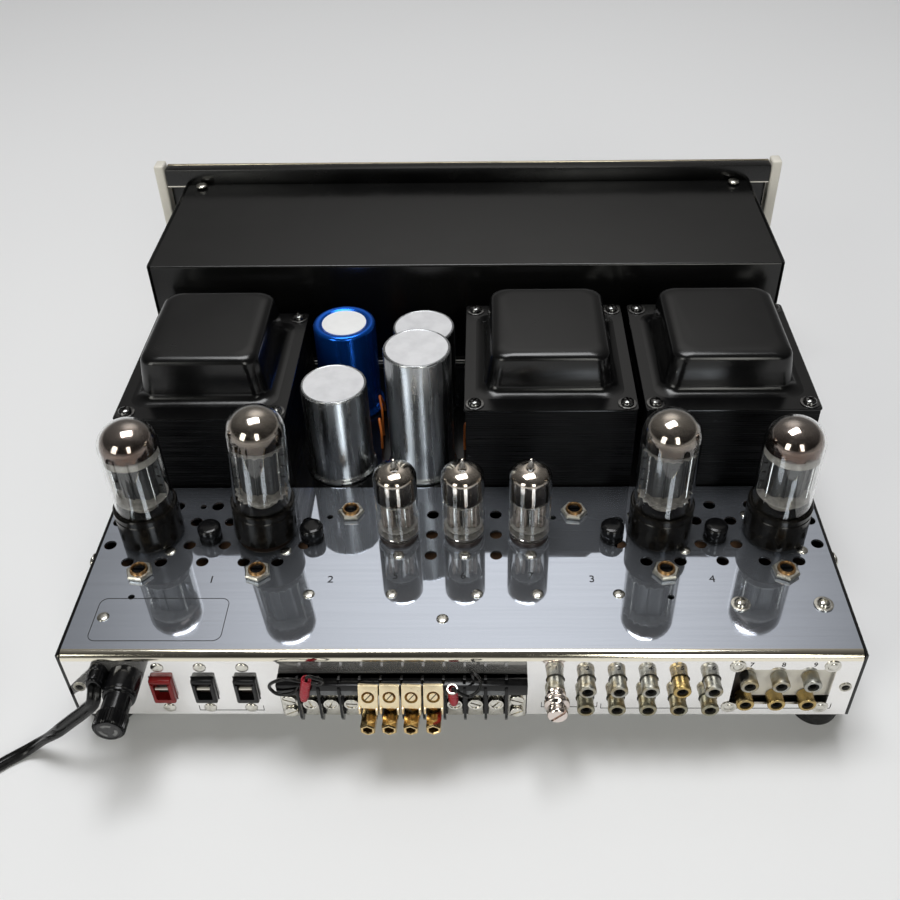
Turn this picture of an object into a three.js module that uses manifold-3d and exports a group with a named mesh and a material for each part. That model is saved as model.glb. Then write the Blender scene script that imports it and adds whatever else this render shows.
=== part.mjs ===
// Integrated valve amplifier, in millimetres, +Z up, standing on its feet at z = 0.
// The front panel faces -Y and the connectors face +Y; +X is on the right of someone facing the panel.
// A depth is a distance in front of the chassis's rear face, and a reach is one behind it.
// A drop is a distance below the top of the deck, and a rise is one above it.

import * as THREE from "three";
import { mergeVertices } from "three/addons/utils/BufferGeometryUtils.js";
import Module from "manifold-3d";

const wasm = await Module();
wasm.setup();

// Common values
const fitGap = 0.3; // between pieces that touch
const overrun = 2; // of every cutting tool past the wall that it cuts
const mergeReach = 1e-4; // within which two corners are one
const quarterTurn = Math.PI / 2;
const fullTurn = Math.PI * 2;
const sideSigns = [-1, 1];

// Sides of round pieces, by size
const wideSides = 20;
const roundSides = 18;
const smallSides = 12;
const holeSides = 8;
const hexSides = 6;
const bendSegments = 4;

// Chassis
const chassisWidth = 366;
const chassisHeight = 43.5;
const sheet = 1.2;
const bendRadius = 4;

// Feet
const footRadius = 14;
const footHeight = 18;
const footTaper = 2;
const footFrontInset = 30;
const footRearInset = 17;
const footOverhang = 5;

// Output valves
const tubeDepth = 78.3;
const tubeInset = 26; // of the outer valve from the side of the chassis
const tubePitch = 57.8;
const tubeBaseRadius = 15.7;
const tubeBaseHeight = 21.5;
const tubeBaseEdge = 1.5;
const tubeGlassRadius = 14.3;
const tubeShoulder = 9;
const outerTubeHeight = 71.3;
const leaningTubeHeight = 76.4;
const straightTubeHeight = 75.7;
const leaningTubeRaise = 2.6;
const leaningTubeAngle = THREE.MathUtils.degToRad(3.4);
const keyRadius = 3.9;
const keyLength = 6;
const keyPlay = 0.8;
const socketRadius = 13.6;

// Driver valves
const smallTubePitch = 32.8;
const smallTubeOffset = -1;
const smallTubeDepth = 77;
const smallTubeRadius = 10.8;
const smallTubeHeight = 50.2;
const smallTubeTip = 5;
const smallTubeStem = 1.5;
const smallSocketRadius = 9.4;
const smallSocketRise = 2.2;

// Wiring boards under the deck
const boardDrop = 16;
const boardThickness = 2;
const boardRearMargin = 14.5; // behind the bias controls
const boardFrontMargin = 23.7; // in front of the valves
const boardSideMargin = 19;
const boardMiddleMargin = 29.2;
const boardSpacing = 4;

// Screwdriver controls
const trimDepth = 50.5;
const balanceTrimInset = 8.5; // from the end of the driver board
const balanceTrimDepth = 92.5;
const trimBushRadius = 4.4;
const trimBushRise = 4.2;
const trimNutFlats = 11;
const trimNutHeight = 2.4;
const trimShaftRadius = 2.9;
const trimShaftLength = 14;
const trimShaftBelow = 0.9;
const trimSlotWidth = 1;
const trimSlotDepth = 1.4;
const trimBodyRadius = 8;
const trimBodyHeight = 9;

// Test points
const testJackOuterReach = 30.2; // from the outer valve
const testJackInnerReach = 24; // from the inner valve
const testJackDepth = 74.6;
const testJackRadius = 5.85;
const testJackRise = 9.4;
const testJackEdge = 1;
const testCollarRadius = 5.2;
const testCollarRise = 3.7;
const testStemRadius = 3.4;

// Vents in the deck
const ventRadius = 3.1;
const ventRing = 21.7;
const ventsPerRing = 8;
const midVentPitch = 14.5;
const midVentHalf = 16.2;
const betweenVentReach = 20;
const deckMargin = 9.4; // of the deck beyond the vents

// Transformers
const coreLength = 96.4;
const coreInset = 0.8;
const powerCoreHeight = 45.3;
const outputCoreHeight = 49.8;
const flangeThickness = 1.2;
const flangeMargin = 0.8;
const bellBaseWidth = 66;
const bellBaseLength = 68;
const bellTopWidth = 54;
const bellTopLength = 62;
const bellCorner = 7;
const bellRound = 3.5;
const powerBellRise = 25.8;
const outputBellRise = 22.4;
const powerTransformerInset = 6.4;
const outerTransformerInset = 3.3;
const transformerSpacing = 4.9;

// Filter capacitors
const canRadius = 17.2;
const canSeam = 1.6;
const canRingRise = 1;
const sleeveFlare = 2;
const canSideGap = 4.9;
const canSpacing = 5.6;
const canDeckGap = 0.7;
const canDepthPitch = 54.6;
const shortCanHeight = 54.5;
const tallCanHeight = 76.5;
const frontCanHeight = 53;
const sleevedCanHeight = 56.4;

// Cover over the preamplifier
const coverHeight = 69.5;
const coverDepth = 107;
const coverGap = 14.7; // between the transformers and the cover
const coverEdgeRadius = 1.5;

// Front panel
const panelWidth = 406.4;
const panelDrop = 12.5; // of its lower edge below the chassis
const panelRise = 9; // of its upper edge over the cover
const panelThickness = 3;
const panelRailDepth = 10;
const panelRailHeight = 11.5;
const endCapWidth = 6.5;
const endCapRise = 2.5;
const endCapSink = 1.2;
const endCapChamfer = 1.2;

// Phono jacks
const jackPitch = 14.3;
const jackColumns = 6;
const jackTopDrop = 17.4;
const jackRowPitch = 13.6;
const jackRadius = 4.1;
const jackBore = 1.9;
const jackReach = 7.4;
const jackBoreDepth = 6;
const jackBoardThickness = 1.6;
const jackBoardMargin = 2;
const jackWindowGap = 10.1;
const sideJackColumns = 3;
const sideJackRecess = 3;
const sideJackInset = 10.3; // of the outermost from the edge of the window
const windowInset = 12;
const windowWidth = 45.5;
const windowTopDrop = 10;
const windowBottomDrop = 35.6;

// Adaptor pushed onto a jack
const adaptorRadius = 4.4;
const adaptorFlangeRadius = 5.8;
const adaptorWaist = 4;
const adaptorFlange = 4;
const adaptorSlope = 2;
const adaptorTail = 5;

// Loudspeaker terminal strip
const stripPitch = 9.53;
const stripTerminals = 10;
const stripGap = 12.9; // from the first column of jacks
const stripEarWidth = 9.6;
const stripTopDrop = 12;
const stripRidgeDrop = 19.4;
const stripBottomDrop = 38.8;
const stripRidge = 7.3;
const stripBase = 3.5;
const stripPlate = 4.3;
const stripPlateWidth = 7;
const stripFinReach = 8.2;
const stripFinThickness = 1.4;
const stripScrewDrop = 27;
const stripScrewRadius = 3.6;
const stripScrewHead = 2.7;
const stripEarScrewPitch = 8.5;
const stripEarScrewRadius = 3.3;

// Gold speaker adaptors
const postFirstTerminal = 3;
const postCount = 4;
const postShiftShares = [0.03, 0.03, -0.02, -0.04]; // of the strip's pitch
const postTurns = [10, 9, 10, 7]; // in degrees, as their cables have pulled them
const postPlateWidth = 9;
const postPlateThickness = 1.8;
const postTopDrop = 7.5;
const postBottomDrop = 26.1;
const postWebWidth = 4.6;
const postTubeDrop = 29.2;
const postTubeFlats = 6.6;
const postTubeReach = 20;
const postBore = 2.2;
const postBoreDepth = 9;

// Convenience outlets
const outletPitch = 19.5;
const outletCount = 3;
const outletGap = 2.4; // from the fuse holder
const outletWidth = 10.4;
const outletHeight = 16.6;
const outletReach = 3;
const outletDrop = 23.4;
const outletBody = 12;
const outletMouthWidth = 6.8;
const outletMouthHeight = 10.6;
const outletMouthDepth = 9;
const outletFlangeHeight = 37;
const outletFlangeThickness = 1;

// Fuse
const fuseInset = 29.5;
const fuseDrop = 13.7;
const fuseFlangeRadius = 7.6;
const fuseFlangeReach = 13.5;
const fuseBodyRadius = 6.2;
const fuseBodyReach = 22.3;
const fuseInside = 14;
const fuseBore = 3.6;
const fuseCapRadius = 7.3;
const fuseCapLength = 8;
const fuseCapStem = 3;
const fuseCapEdge = 0.9;

// Mains lead
const glandInset = 17.8;
const glandDrop = 10.9;
const glandWidth = 7.2;
const glandHeight = 13.6;
const glandReach = 5;
const glandLip = 1.6;
const glandNeckHeight = 10.8;
const cordWidth = 6.4;
const cordThickness = 3.4;
const cordSides = 8;
const cordRoundShare = 0.7;
const cordStep = 6.8;
const coilX = 305;
const coilReach = 2;
const coilRadius = 34.5;
const coilTurnPitch = 8.4;
const coilLayers = 4;
const coilTurnsPerLayer = 1.57;
const coilClimb = 1 / 6; // of a turn, between layers
const coilLayerPitch = 3.95;
const coilSteps = 24;
const coilSides = 6;
const coilExitSwing = 8.5;
const coilExitOut = 1 / 4; // of a turn, to move outside the coil
const coilExitDown = 3 / 8; // of a turn, to come down to the table
const coilStartAngle = THREE.MathUtils.degToRad(96);

// Mains plug
const plugLength = 30;
const plugWidth = 17;
const plugHeight = 11;
const plugNeckLength = 12;
const plugNeckWidth = 9;
const plugNeckHeight = 6;
const bladeLength = 16;
const bladeWidth = 6.3;
const bladeThickness = 1.5;
const bladeSpacing = 12.7;

// Knobs, their potentiometers and the preamplifier board
const knobRise = 34.5;
const outerKnobX = 145;
const innerKnobX = 72;
const largeKnobRadius = 19;
const smallKnobRadius = 14;
const knobLength = 22;
const knobSkirt = 4;
const knobSkirtStep = 2;
const knobTaper = 1.5;
const knobGap = 1;
const shaftRadius = 3.1;
const shaftPlay = 0.5;
const shaftTail = 11.8; // into the potentiometer
const potRadius = 12;
const potLength = 13;
const potGap = 5;
const bracketThickness = 2;
const bracketMargin = 15; // from the side of the chassis
const bracketRise = 2.5;
const bracketHeight = 58;
const circuitDepth = 70;
const circuitRise = 10;
const circuitThickness = 2;
const filterPartHeight = 14;
const filterPartRadius = 6;
const filterPartPitch = 48;
const filterParts = 6;

// Power switch
const powerRise = 20; // over the bottom of the chassis
const leverWidth = 7;
const leverHeight = 12;
const leverReach = 7;
const leverTail = 6;
const leverTravel = 8;
const leverPlateMargin = 7.5;
const leverPlateHeight = 16;

// Bottom plate vents
const slotWidth = 4;
const slotLength = 40;
const slotPitch = 14;
const slotCount = 9;

// Derived places
const halfWidth = chassisWidth / 2;
const deckTop = footHeight + chassisHeight;
const deckUnder = deckTop - sheet;
const boardTop = deckTop - boardDrop;
const chromeDepth = tubeDepth + ventRing + ventRadius + deckMargin;
const canRing = canRadius + sleeveFlare;
const canField = 2 * canSideGap + 4 * canRing + canSpacing;
const transformerGaps = powerTransformerInset + outerTransformerInset + transformerSpacing;
const coreWidth = (chassisWidth - transformerGaps - canField) / 3;
const coreDepth = chromeDepth + coreInset + flangeMargin + coreLength / 2;
const coverRearDepth = coreDepth + coreLength / 2 + flangeMargin + coverGap;
const chassisDepth = coverRearDepth + coverDepth;
const coverTop = deckTop + coverHeight;
const panelFrontDepth = chassisDepth + panelRailDepth;
const panelBottom = footHeight - panelDrop;
const panelTop = coverTop + panelRise;
const knobFace = panelFrontDepth + knobGap;
const fuseReach = fuseBodyReach + fitGap + fuseCapLength;
const rearY = (knobFace + knobLength - fuseReach) / 2;

const outerTubeX = halfWidth - tubeInset;
const innerTubeX = outerTubeX - tubePitch;
const betweenTubesX = (outerTubeX + innerTubeX) / 2;
const tubePlaces = [
  ["power_tube_1", outerTubeX, outerTubeHeight],
  ["power_tube_2", innerTubeX, leaningTubeHeight],
  ["power_tube_3", -innerTubeX, straightTubeHeight],
  ["power_tube_4", -outerTubeX, outerTubeHeight],
];
const smallTubeX = [1, 0, -1].map((k) => smallTubeOffset + k * smallTubePitch);
const outputBoardInner = innerTubeX - boardMiddleMargin;
const driverBoardHalf = outputBoardInner - boardSpacing;
const balanceTrimX = driverBoardHalf - balanceTrimInset;
const trimPlaces = [
  ["bias_trim_1", outerTubeX, trimDepth],
  ["bias_trim_2", innerTubeX, trimDepth],
  ["bias_trim_3", -innerTubeX, trimDepth],
  ["bias_trim_4", -outerTubeX, trimDepth],
  ["balance_trim_1", balanceTrimX, balanceTrimDepth],
  ["balance_trim_2", -balanceTrimX, balanceTrimDepth],
];
const testJackX = [outerTubeX - testJackOuterReach, innerTubeX - testJackInnerReach];

const windowFarX = windowInset - halfWidth;
const windowNearX = windowFarX + windowWidth;
const counted = (count, place) => Array.from({ length: count }, (_, k) => place(k));
const jackFirstX = windowNearX + jackWindowGap + (jackColumns - 1) * jackPitch;
const jackX = counted(jackColumns, (k) => jackFirstX - k * jackPitch);
const sideJackX = counted(sideJackColumns, (k) => windowFarX + sideJackInset + k * jackPitch);
const jackDrops = [jackTopDrop, jackTopDrop + jackRowPitch];
const stripLastFinX = jackFirstX + stripGap + stripEarWidth;
const finX = (k) => stripLastFinX + (stripTerminals - k) * stripPitch;
const fuseX = halfWidth - fuseInset;
const glandX = halfWidth - glandInset;
const outletFirstX = fuseX - fuseFlangeRadius - outletGap - outletWidth / 2;
const outletX = counted(outletCount, (k) => outletFirstX - k * outletPitch);

const knobZ = deckTop + knobRise;
const powerZ = footHeight + powerRise;
const powerX = -outerKnobX;
const knobPlaces = [
  ["selector_knob", -outerKnobX, largeKnobRadius],
  ["bass_knob", -innerKnobX, smallKnobRadius],
  ["treble_knob", 0, smallKnobRadius],
  ["balance_knob", innerKnobX, smallKnobRadius],
  ["volume_knob", outerKnobX, largeKnobRadius],
];

const atDepth = (depth) => rearY - depth;
const below = (drop) => deckTop - drop;

// Shapes
function solidOf(geometry) {
  const bare = new THREE.BufferGeometry();
  bare.setAttribute("position", geometry.getAttribute("position"));
  if (geometry.index) bare.setIndex(geometry.index);
  const merged = mergeVertices(bare, mergeReach);
  const index = merged.index.array;
  const kept = [];
  for (let i = 0; i < index.length; i += 3) {
    const [a, b, c] = index.slice(i, i + 3);
    if (a !== b && b !== c && c !== a) kept.push(a, b, c);
  }
  const make = (triVerts) => {
    const vertProperties = new Float32Array(merged.attributes.position.array);
    return new wasm.Manifold(new wasm.Mesh({ numProp: 3, vertProperties, triVerts }));
  };
  const solid = make(new Uint32Array(kept));
  // a profile that runs the other way gives a solid that faces in
  return solid.volume() < 0 ? make(new Uint32Array(kept.reverse())) : solid;
}

function geometryOf(solid) {
  const mesh = solid.getMesh();
  const points = new Float32Array(mesh.numVert * 3);
  for (let i = 0; i < mesh.numVert; i += 1) {
    const from = i * mesh.numProp;
    points.set(mesh.vertProperties.subarray(from, from + 3), i * 3);
  }
  const geometry = new THREE.BufferGeometry();
  geometry.setAttribute("position", new THREE.BufferAttribute(points, 3));
  geometry.setIndex(new THREE.BufferAttribute(new Uint32Array(mesh.triVerts), 1));
  return geometry;
}

const placed = (geometry, x, y, z) => solidOf(geometry.translate(x, y, z));

// A block between two corners.
function block(x0, y0, z0, x1, y1, z1) {
  const size = [Math.abs(x1 - x0), Math.abs(y1 - y0), Math.abs(z1 - z0)];
  const geometry = new THREE.BoxGeometry(...size);
  return placed(geometry, (x0 + x1) / 2, (y0 + y1) / 2, (z0 + z1) / 2);
}

// A block from x0 to x1, from depth d0 to d1 and from z0 to z1.
const slab = (x0, x1, d0, d1, z0, z1) => block(x0, atDepth(d0), z0, x1, atDepth(d1), z1);

const latheOf = (profile, sides) =>
  new THREE.LatheGeometry(profile.map(([radius, along]) => new THREE.Vector2(radius, along)), sides);

// A solid turned about the vertical through (x, y); the profile lists [radius, z].
const turned = (profile, x, y, z, sides) =>
  placed(latheOf(profile, sides).rotateX(quarterTurn), x, y, z);

// A solid turned about a line along Y; the profile lists [radius, distance towards +Y].
const turnedBack = (profile, x, y, z, sides) => placed(latheOf(profile, sides), x, y, z);

const rodProfile = (radius, from, to) => [[0, from], [radius, from], [radius, to], [0, to]];
const rod = (radius, x, y, z0, z1, sides) => turned(rodProfile(radius, z0, z1), x, y, 0, sides);
const rodBack = (radius, x, y0, y1, z, sides) =>
  turnedBack(rodProfile(radius, y0, y1), x, 0, z, sides);

// A hexagonal bar along Y, between two flats that are the given distance apart.
const hexBack = (flats, x, y0, y1, z) => rodBack(flats / Math.sqrt(3), x, y0, y1, z, hexSides);

// An outline of depths and heights, drawn out along X from x0 to x1.
function drawnOut(shape, x0, x1) {
  const options = { depth: x1 - x0, bevelEnabled: false, curveSegments: bendSegments };
  const geometry = new THREE.ExtrudeGeometry(shape, options);
  const toDepth = new THREE.Vector3(0, -1, 0);
  const toHeight = new THREE.Vector3(0, 0, 1);
  const toSide = new THREE.Vector3(-1, 0, 0);
  geometry.applyMatrix4(new THREE.Matrix4().makeBasis(toDepth, toHeight, toSide));
  return placed(geometry, x1, rearY, 0);
}

// A closed skin over rings of equal point counts.
function lofted(rings) {
  const count = rings[0].length;
  const faces = [];
  for (let r = 0; r + 1 < rings.length; r += 1) {
    for (let k = 0; k < count; k += 1) {
      const a = r * count + k;
      const b = r * count + ((k + 1) % count);
      faces.push(a, b, b + count, a, b + count, a + count);
    }
  }
  const last = (rings.length - 1) * count;
  for (let k = 1; k + 1 < count; k += 1) {
    faces.push(0, k + 1, k, last, last + k, last + k + 1);
  }
  const geometry = new THREE.BufferGeometry();
  geometry.setAttribute("position", new THREE.Float32BufferAttribute(rings.flat(2), 3));
  geometry.setIndex(faces);
  return solidOf(geometry);
}

const joined = (solids) => solids.reduce((all, next) => all.add(next));
const cut = (body, tools) => body.subtract(joined(tools));

// Materials
const finish = (color, roughness, metalness) =>
  new THREE.MeshStandardMaterial({ color, roughness, metalness });
const blackSteel = finish(0x101012, 0.3, 0.4);
const chrome = finish(0xd8dade, 0.1, 1);
const champagne = finish(0xd9cfb4, 0.35, 0.7);
const creamMetal = finish(0xe2ddd2, 0.4, 0.4);
const satinBlack = finish(0x1b1b1d, 0.5, 0.3);
const laminations = finish(0x141414, 0.6, 0.3);
const aluminium = finish(0xc9ccd0, 0.3, 0.9);
const blueSleeve = finish(0x1450d8, 0.35, 0);
const glass = finish(0xbfc6c8, 0.05, 0);
const phenolic = finish(0x5a3d22, 0.6, 0);
const blackPlastic = finish(0x0c0c0d, 0.35, 0);
const redPlastic = finish(0x7a1719, 0.35, 0);
const gold = finish(0xd9a441, 0.2, 1);
const nickel = finish(0xb8b4a6, 0.3, 1);
const rubber = finish(0x0b0b0b, 0.8, 0);

const amplifier = new THREE.Group();

function add(name, solid, material) {
  const mesh = new THREE.Mesh(geometryOf(solid), material);
  mesh.name = name;
  amplifier.add(mesh);
  return mesh;
}

// Holes that the front controls need, through a wall between two depths
function controlHoles(play, d0, d1) {
  const shafts = knobPlaces.map(([, x]) =>
    rodBack(shaftRadius + play, x, atDepth(d1) - overrun, atDepth(d0) + overrun, knobZ, smallSides),
  );
  const slot = slab(
    powerX - leverWidth / 2 - play,
    powerX + leverWidth / 2 + leverTravel + play,
    d0 - overrun,
    d1 + overrun,
    powerZ - leverHeight / 2 - play,
    powerZ + leverHeight / 2 + play,
  );
  return [...shafts, slot];
}

// Chassis: black pan, chrome deck, bottom plate and the cover over the preamplifier
function chassisPan() {
  const inner = chassisDepth - sheet;
  const sides = sideSigns.map((s) =>
    slab(s * halfWidth, s * (halfWidth - sheet), 0, chassisDepth, footHeight, deckTop),
  );
  const top = slab(-halfWidth, halfWidth, chromeDepth + fitGap, chassisDepth, deckUnder, deckTop);
  const half = halfWidth - sheet - fitGap;
  const front = slab(-half, half, inner, chassisDepth, footHeight, coverTop - sheet - fitGap);
  const corner = slab(-halfWidth, halfWidth, inner, chassisDepth, footHeight, deckTop);
  return cut(joined([...sides, top, front, corner]), controlHoles(shaftPlay + fitGap, inner, chassisDepth));
}

function deckHoles() {
  const hole = (radius, x, depth, sides) =>
    rod(radius, x, atDepth(depth), deckUnder - overrun, deckTop + overrun, sides);
  const holes = [];
  for (const [, x] of tubePlaces) {
    holes.push(hole(socketRadius + fitGap, x, tubeDepth, roundSides));
    for (let k = 0; k < ventsPerRing; k += 1) {
      const angle = ((k + 1 / 2) * fullTurn) / ventsPerRing;
      const depth = tubeDepth + ventRing * Math.sin(angle);
      holes.push(hole(ventRadius, x + ventRing * Math.cos(angle), depth, holeSides));
    }
  }
  for (const side of sideSigns) {
    holes.push(hole(ventRadius, side * betweenTubesX, tubeDepth - betweenVentReach, holeSides));
    holes.push(hole(ventRadius, side * betweenTubesX, tubeDepth + betweenVentReach, holeSides));
    for (const row of [-1, 0, 1]) {
      const x = smallTubeOffset + side * midVentHalf;
      holes.push(hole(ventRadius, x, smallTubeDepth + row * midVentPitch, holeSides));
    }
    for (const x of testJackX) {
      holes.push(hole(testStemRadius + fitGap, side * x, testJackDepth, holeSides));
    }
  }
  for (const x of smallTubeX) {
    holes.push(hole(smallSocketRadius + fitGap, x, smallTubeDepth, roundSides));
  }
  for (const [, x, depth] of trimPlaces) {
    holes.push(hole(trimBushRadius + fitGap, x, depth, smallSides));
  }
  return holes;
}

// A turned solid at the gland, drawn in to the gland's oval; the profile lists [radius, reach].
function ovalBack(profile) {
  const oval = turnedBack(profile, 0, 0, 0, smallSides).scale([glandWidth / glandHeight, 1, 1]);
  return oval.translate([glandX, rearY, below(glandDrop)]);
}

function rearHoles() {
  const through = (radius, x, drop, sides) =>
    rodBack(radius, x, atDepth(sheet) - overrun, rearY + overrun, below(drop), sides);
  const opening = (x0, x1, top, bottom) =>
    slab(x0, x1, -overrun, sheet + overrun, below(bottom), below(top));
  const halfWide = outletWidth / 2 + fitGap;
  const halfTall = outletHeight / 2 + fitGap;
  return [
    ...jackX.flatMap((x) => jackDrops.map((drop) => through(jackRadius + fitGap, x, drop, smallSides))),
    ...outletX.map((x) => opening(x - halfWide, x + halfWide, outletDrop - halfTall, outletDrop + halfTall)),
    opening(windowFarX, windowNearX, windowTopDrop, windowBottomDrop),
    through(fuseBodyRadius + fitGap, fuseX, fuseDrop, roundSides),
    ovalBack(rodProfile(glandNeckHeight / 2 + 2 * fitGap, -sheet - overrun, overrun)),
  ];
}

function chromeDeck() {
  const half = halfWidth - sheet - fitGap;
  const centre = deckTop - bendRadius;
  const shape = new THREE.Shape();
  shape.moveTo(chromeDepth, deckTop);
  shape.lineTo(bendRadius, deckTop);
  shape.absarc(bendRadius, centre, bendRadius, quarterTurn, Math.PI, false);
  shape.lineTo(0, footHeight);
  shape.lineTo(sheet, footHeight);
  shape.lineTo(sheet, centre);
  shape.absarc(bendRadius, centre, bendRadius - sheet, Math.PI, quarterTurn, true);
  shape.lineTo(chromeDepth, deckUnder);
  return cut(drawnOut(shape, -half, half), [...deckHoles(), ...rearHoles()]);
}

function bottomCover() {
  const half = halfWidth - sheet - fitGap;
  const near = sheet + fitGap;
  const top = footHeight + sheet;
  const plate = slab(-half, half, near, chassisDepth - near, footHeight, top);
  const slots = sideSigns.flatMap((side) =>
    counted(slotCount, (k) => {
      const x = side * betweenTubesX + (k - (slotCount - 1) / 2) * slotPitch;
      const [d0, d1] = [tubeDepth - slotLength / 2, tubeDepth + slotLength / 2];
      return slab(x - slotWidth / 2, x + slotWidth / 2, d0, d1, footHeight - overrun, top + overrun);
    }),
  );
  return cut(plate, slots);
}

function preampCover() {
  const round = coverEdgeRadius;
  const shape = new THREE.Shape();
  shape.moveTo(chassisDepth, deckTop);
  shape.lineTo(chassisDepth, coverTop);
  shape.lineTo(coverRearDepth + round, coverTop);
  shape.absarc(coverRearDepth + round, coverTop - round, round, quarterTurn, Math.PI, false);
  shape.lineTo(coverRearDepth, deckTop);
  const half = halfWidth - sheet;
  const [d0, d1] = [coverRearDepth + sheet, chassisDepth + overrun];
  const hollow = slab(-half, half, d0, d1, deckTop - overrun, coverTop - sheet);
  return cut(drawnOut(shape, -halfWidth, halfWidth), [hollow]);
}

add("chassis_pan", chassisPan(), blackSteel);
add("chrome_deck", chromeDeck(), chrome);
add("bottom_cover", bottomCover(), blackSteel);
add("preamp_cover", preampCover(), blackSteel);

// Front panel with its rails, and the two end caps
function frontPanel() {
  const half = panelWidth / 2 - endCapWidth - fitGap;
  const faceBack = panelFrontDepth - panelThickness;
  const across = (depth, z0, z1) => slab(-half, half, depth, panelFrontDepth, z0, z1);
  const solids = [
    across(faceBack, panelBottom, panelTop),
    across(chassisDepth, panelTop - panelRailHeight, panelTop),
    across(chassisDepth, panelBottom, panelBottom + panelRailHeight),
  ];
  return cut(joined(solids), controlHoles(shaftPlay, faceBack, panelFrontDepth));
}

function endCap(side) {
  const low = panelBottom - endCapSink;
  const high = panelTop + endCapRise;
  const c = endCapChamfer;
  const shape = new THREE.Shape();
  shape.moveTo(chassisDepth, low);
  shape.lineTo(panelFrontDepth - c, low);
  shape.lineTo(panelFrontDepth, low + c);
  shape.lineTo(panelFrontDepth, high - c);
  shape.lineTo(panelFrontDepth - c, high);
  shape.lineTo(chassisDepth + c, high);
  shape.lineTo(chassisDepth, high - c);
  const middle = side * (panelWidth / 2 - endCapWidth / 2);
  return drawnOut(shape, middle - endCapWidth / 2, middle + endCapWidth / 2);
}

add("front_panel", frontPanel(), champagne);
add("end_cap_right", endCap(1), creamMetal);
add("end_cap_left", endCap(-1), creamMetal);

// Feet
const footPlaces = [
  ["foot_front_left", -1, chassisDepth - footFrontInset],
  ["foot_front_right", 1, chassisDepth - footFrontInset],
  ["foot_rear_left", -1, footRearInset],
  ["foot_rear_right", 1, footRearInset],
];
for (const [name, side, depth] of footPlaces) {
  const x = side * (halfWidth + footOverhang - footRadius);
  const profile = [[0, 0], [footRadius - footTaper, 0], [footRadius, footHeight], [0, footHeight]];
  add(name, turned(profile, x, atDepth(depth), 0, roundSides), rubber);
}

// Transformers: laminated core on the deck, end bell on the core
const powerTransformerX = halfWidth - powerTransformerInset - coreWidth / 2;
const outerTransformerX = outerTransformerInset + coreWidth / 2 - halfWidth;
const innerTransformerX = outerTransformerX + coreWidth + transformerSpacing;
const transformerPlaces = [
  ["power_transformer", powerTransformerX, powerCoreHeight, powerBellRise],
  ["output_transformer_inner", innerTransformerX, outputCoreHeight, outputBellRise],
  ["output_transformer_outer", outerTransformerX, outputCoreHeight, outputBellRise],
];

function coreBlock(x, margin, z0, z1) {
  const halfWide = coreWidth / 2 + margin;
  const halfLong = coreLength / 2 + margin;
  return slab(x - halfWide, x + halfWide, coreDepth - halfLong, coreDepth + halfLong, z0, z1);
}

function bell(x, base, rise) {
  const levels = [
    [bellBaseWidth, bellBaseLength, flangeThickness / 2],
    [bellTopWidth + bellRound, bellTopLength + bellRound, flangeThickness + rise - 2 * bellRound],
    [bellTopWidth, bellTopLength, flangeThickness + rise - bellRound / 2],
    [bellTopWidth - 2 * bellRound, bellTopLength - 2 * bellRound, flangeThickness + rise],
  ];
  const corners = [[1, 1], [-1, 1], [-1, -1], [1, -1]];
  const rings = levels.map(([width, length, height]) =>
    corners.flatMap(([sx, sy], turn) =>
      counted(bendSegments, (k) => {
        const angle = (turn + k / (bendSegments - 1)) * quarterTurn;
        return [
          x + sx * (width / 2 - bellCorner) + bellCorner * Math.cos(angle),
          atDepth(coreDepth) + sy * (length / 2 - bellCorner) + bellCorner * Math.sin(angle),
          base + height,
        ];
      }),
    ),
  );
  return coreBlock(x, flangeMargin, base, base + flangeThickness).add(lofted(rings));
}

for (const [name, x, height, rise] of transformerPlaces) {
  add(`${name}_core`, coreBlock(x, 0, deckTop, deckTop + height), laminations);
  add(`${name}_bell`, bell(x, deckTop + height, rise), satinBlack);
}

// Filter capacitors, the bare ones with a rolled seam at the foot
const canInnerX = innerTransformerX + coreWidth / 2 + canSideGap + canRing;
const canOuterX = canInnerX + 2 * canRing + canSpacing;
const canRearDepth = chromeDepth + canDeckGap + canRing;
const canFrontDepth = canRearDepth + canDepthPitch;

function can(x, depth, height) {
  const seam = canRadius + canSeam;
  const profile = [
    [0, 0],
    [seam, 0],
    [seam, canRingRise],
    [canRadius, canRingRise + canSeam],
    [canRadius, height],
    [0, height],
  ];
  return turned(profile, x, atDepth(depth), deckTop, wideSides);
}

function sleevedCan(x, depth, height) {
  const profile = [
    [0, 0],
    [canRing, 0],
    [canRing, sleeveFlare],
    [canRadius, 2 * sleeveFlare],
    [canRadius, height - canRingRise],
    [canRadius - canRingRise, height],
    [0, height],
  ];
  return turned(profile, x, atDepth(depth), deckTop, wideSides);
}

add("filter_can_short", can(canOuterX, canRearDepth, shortCanHeight), aluminium);
add("filter_can_tall", can(canInnerX, canRearDepth, tallCanHeight), aluminium);
add("filter_can_front", can(canInnerX, canFrontDepth, frontCanHeight), aluminium);
add("filter_can_sleeved", sleevedCan(canOuterX, canFrontDepth, sleevedCanHeight), blueSleeve);

// Output valves, with the key of the base pointing down
function powerTube(height) {
  const shoulderTop = height - tubeShoulder;
  const dome = [1 / 4, 1 / 2, 3 / 4].map((share) => [
    tubeGlassRadius * Math.cos(share * quarterTurn),
    shoulderTop + tubeShoulder * Math.sin(share * quarterTurn),
  ]);
  const profile = [
    [0, -keyLength],
    [keyRadius, -keyLength],
    [keyRadius, 0],
    [tubeBaseRadius - tubeBaseEdge, 0],
    [tubeBaseRadius, tubeBaseEdge],
    [tubeBaseRadius, tubeBaseHeight],
    [tubeGlassRadius, tubeBaseHeight],
    [tubeGlassRadius, shoulderTop],
    ...dome,
    [0, height],
  ];
  return turned(profile, 0, 0, 0, roundSides);
}

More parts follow.
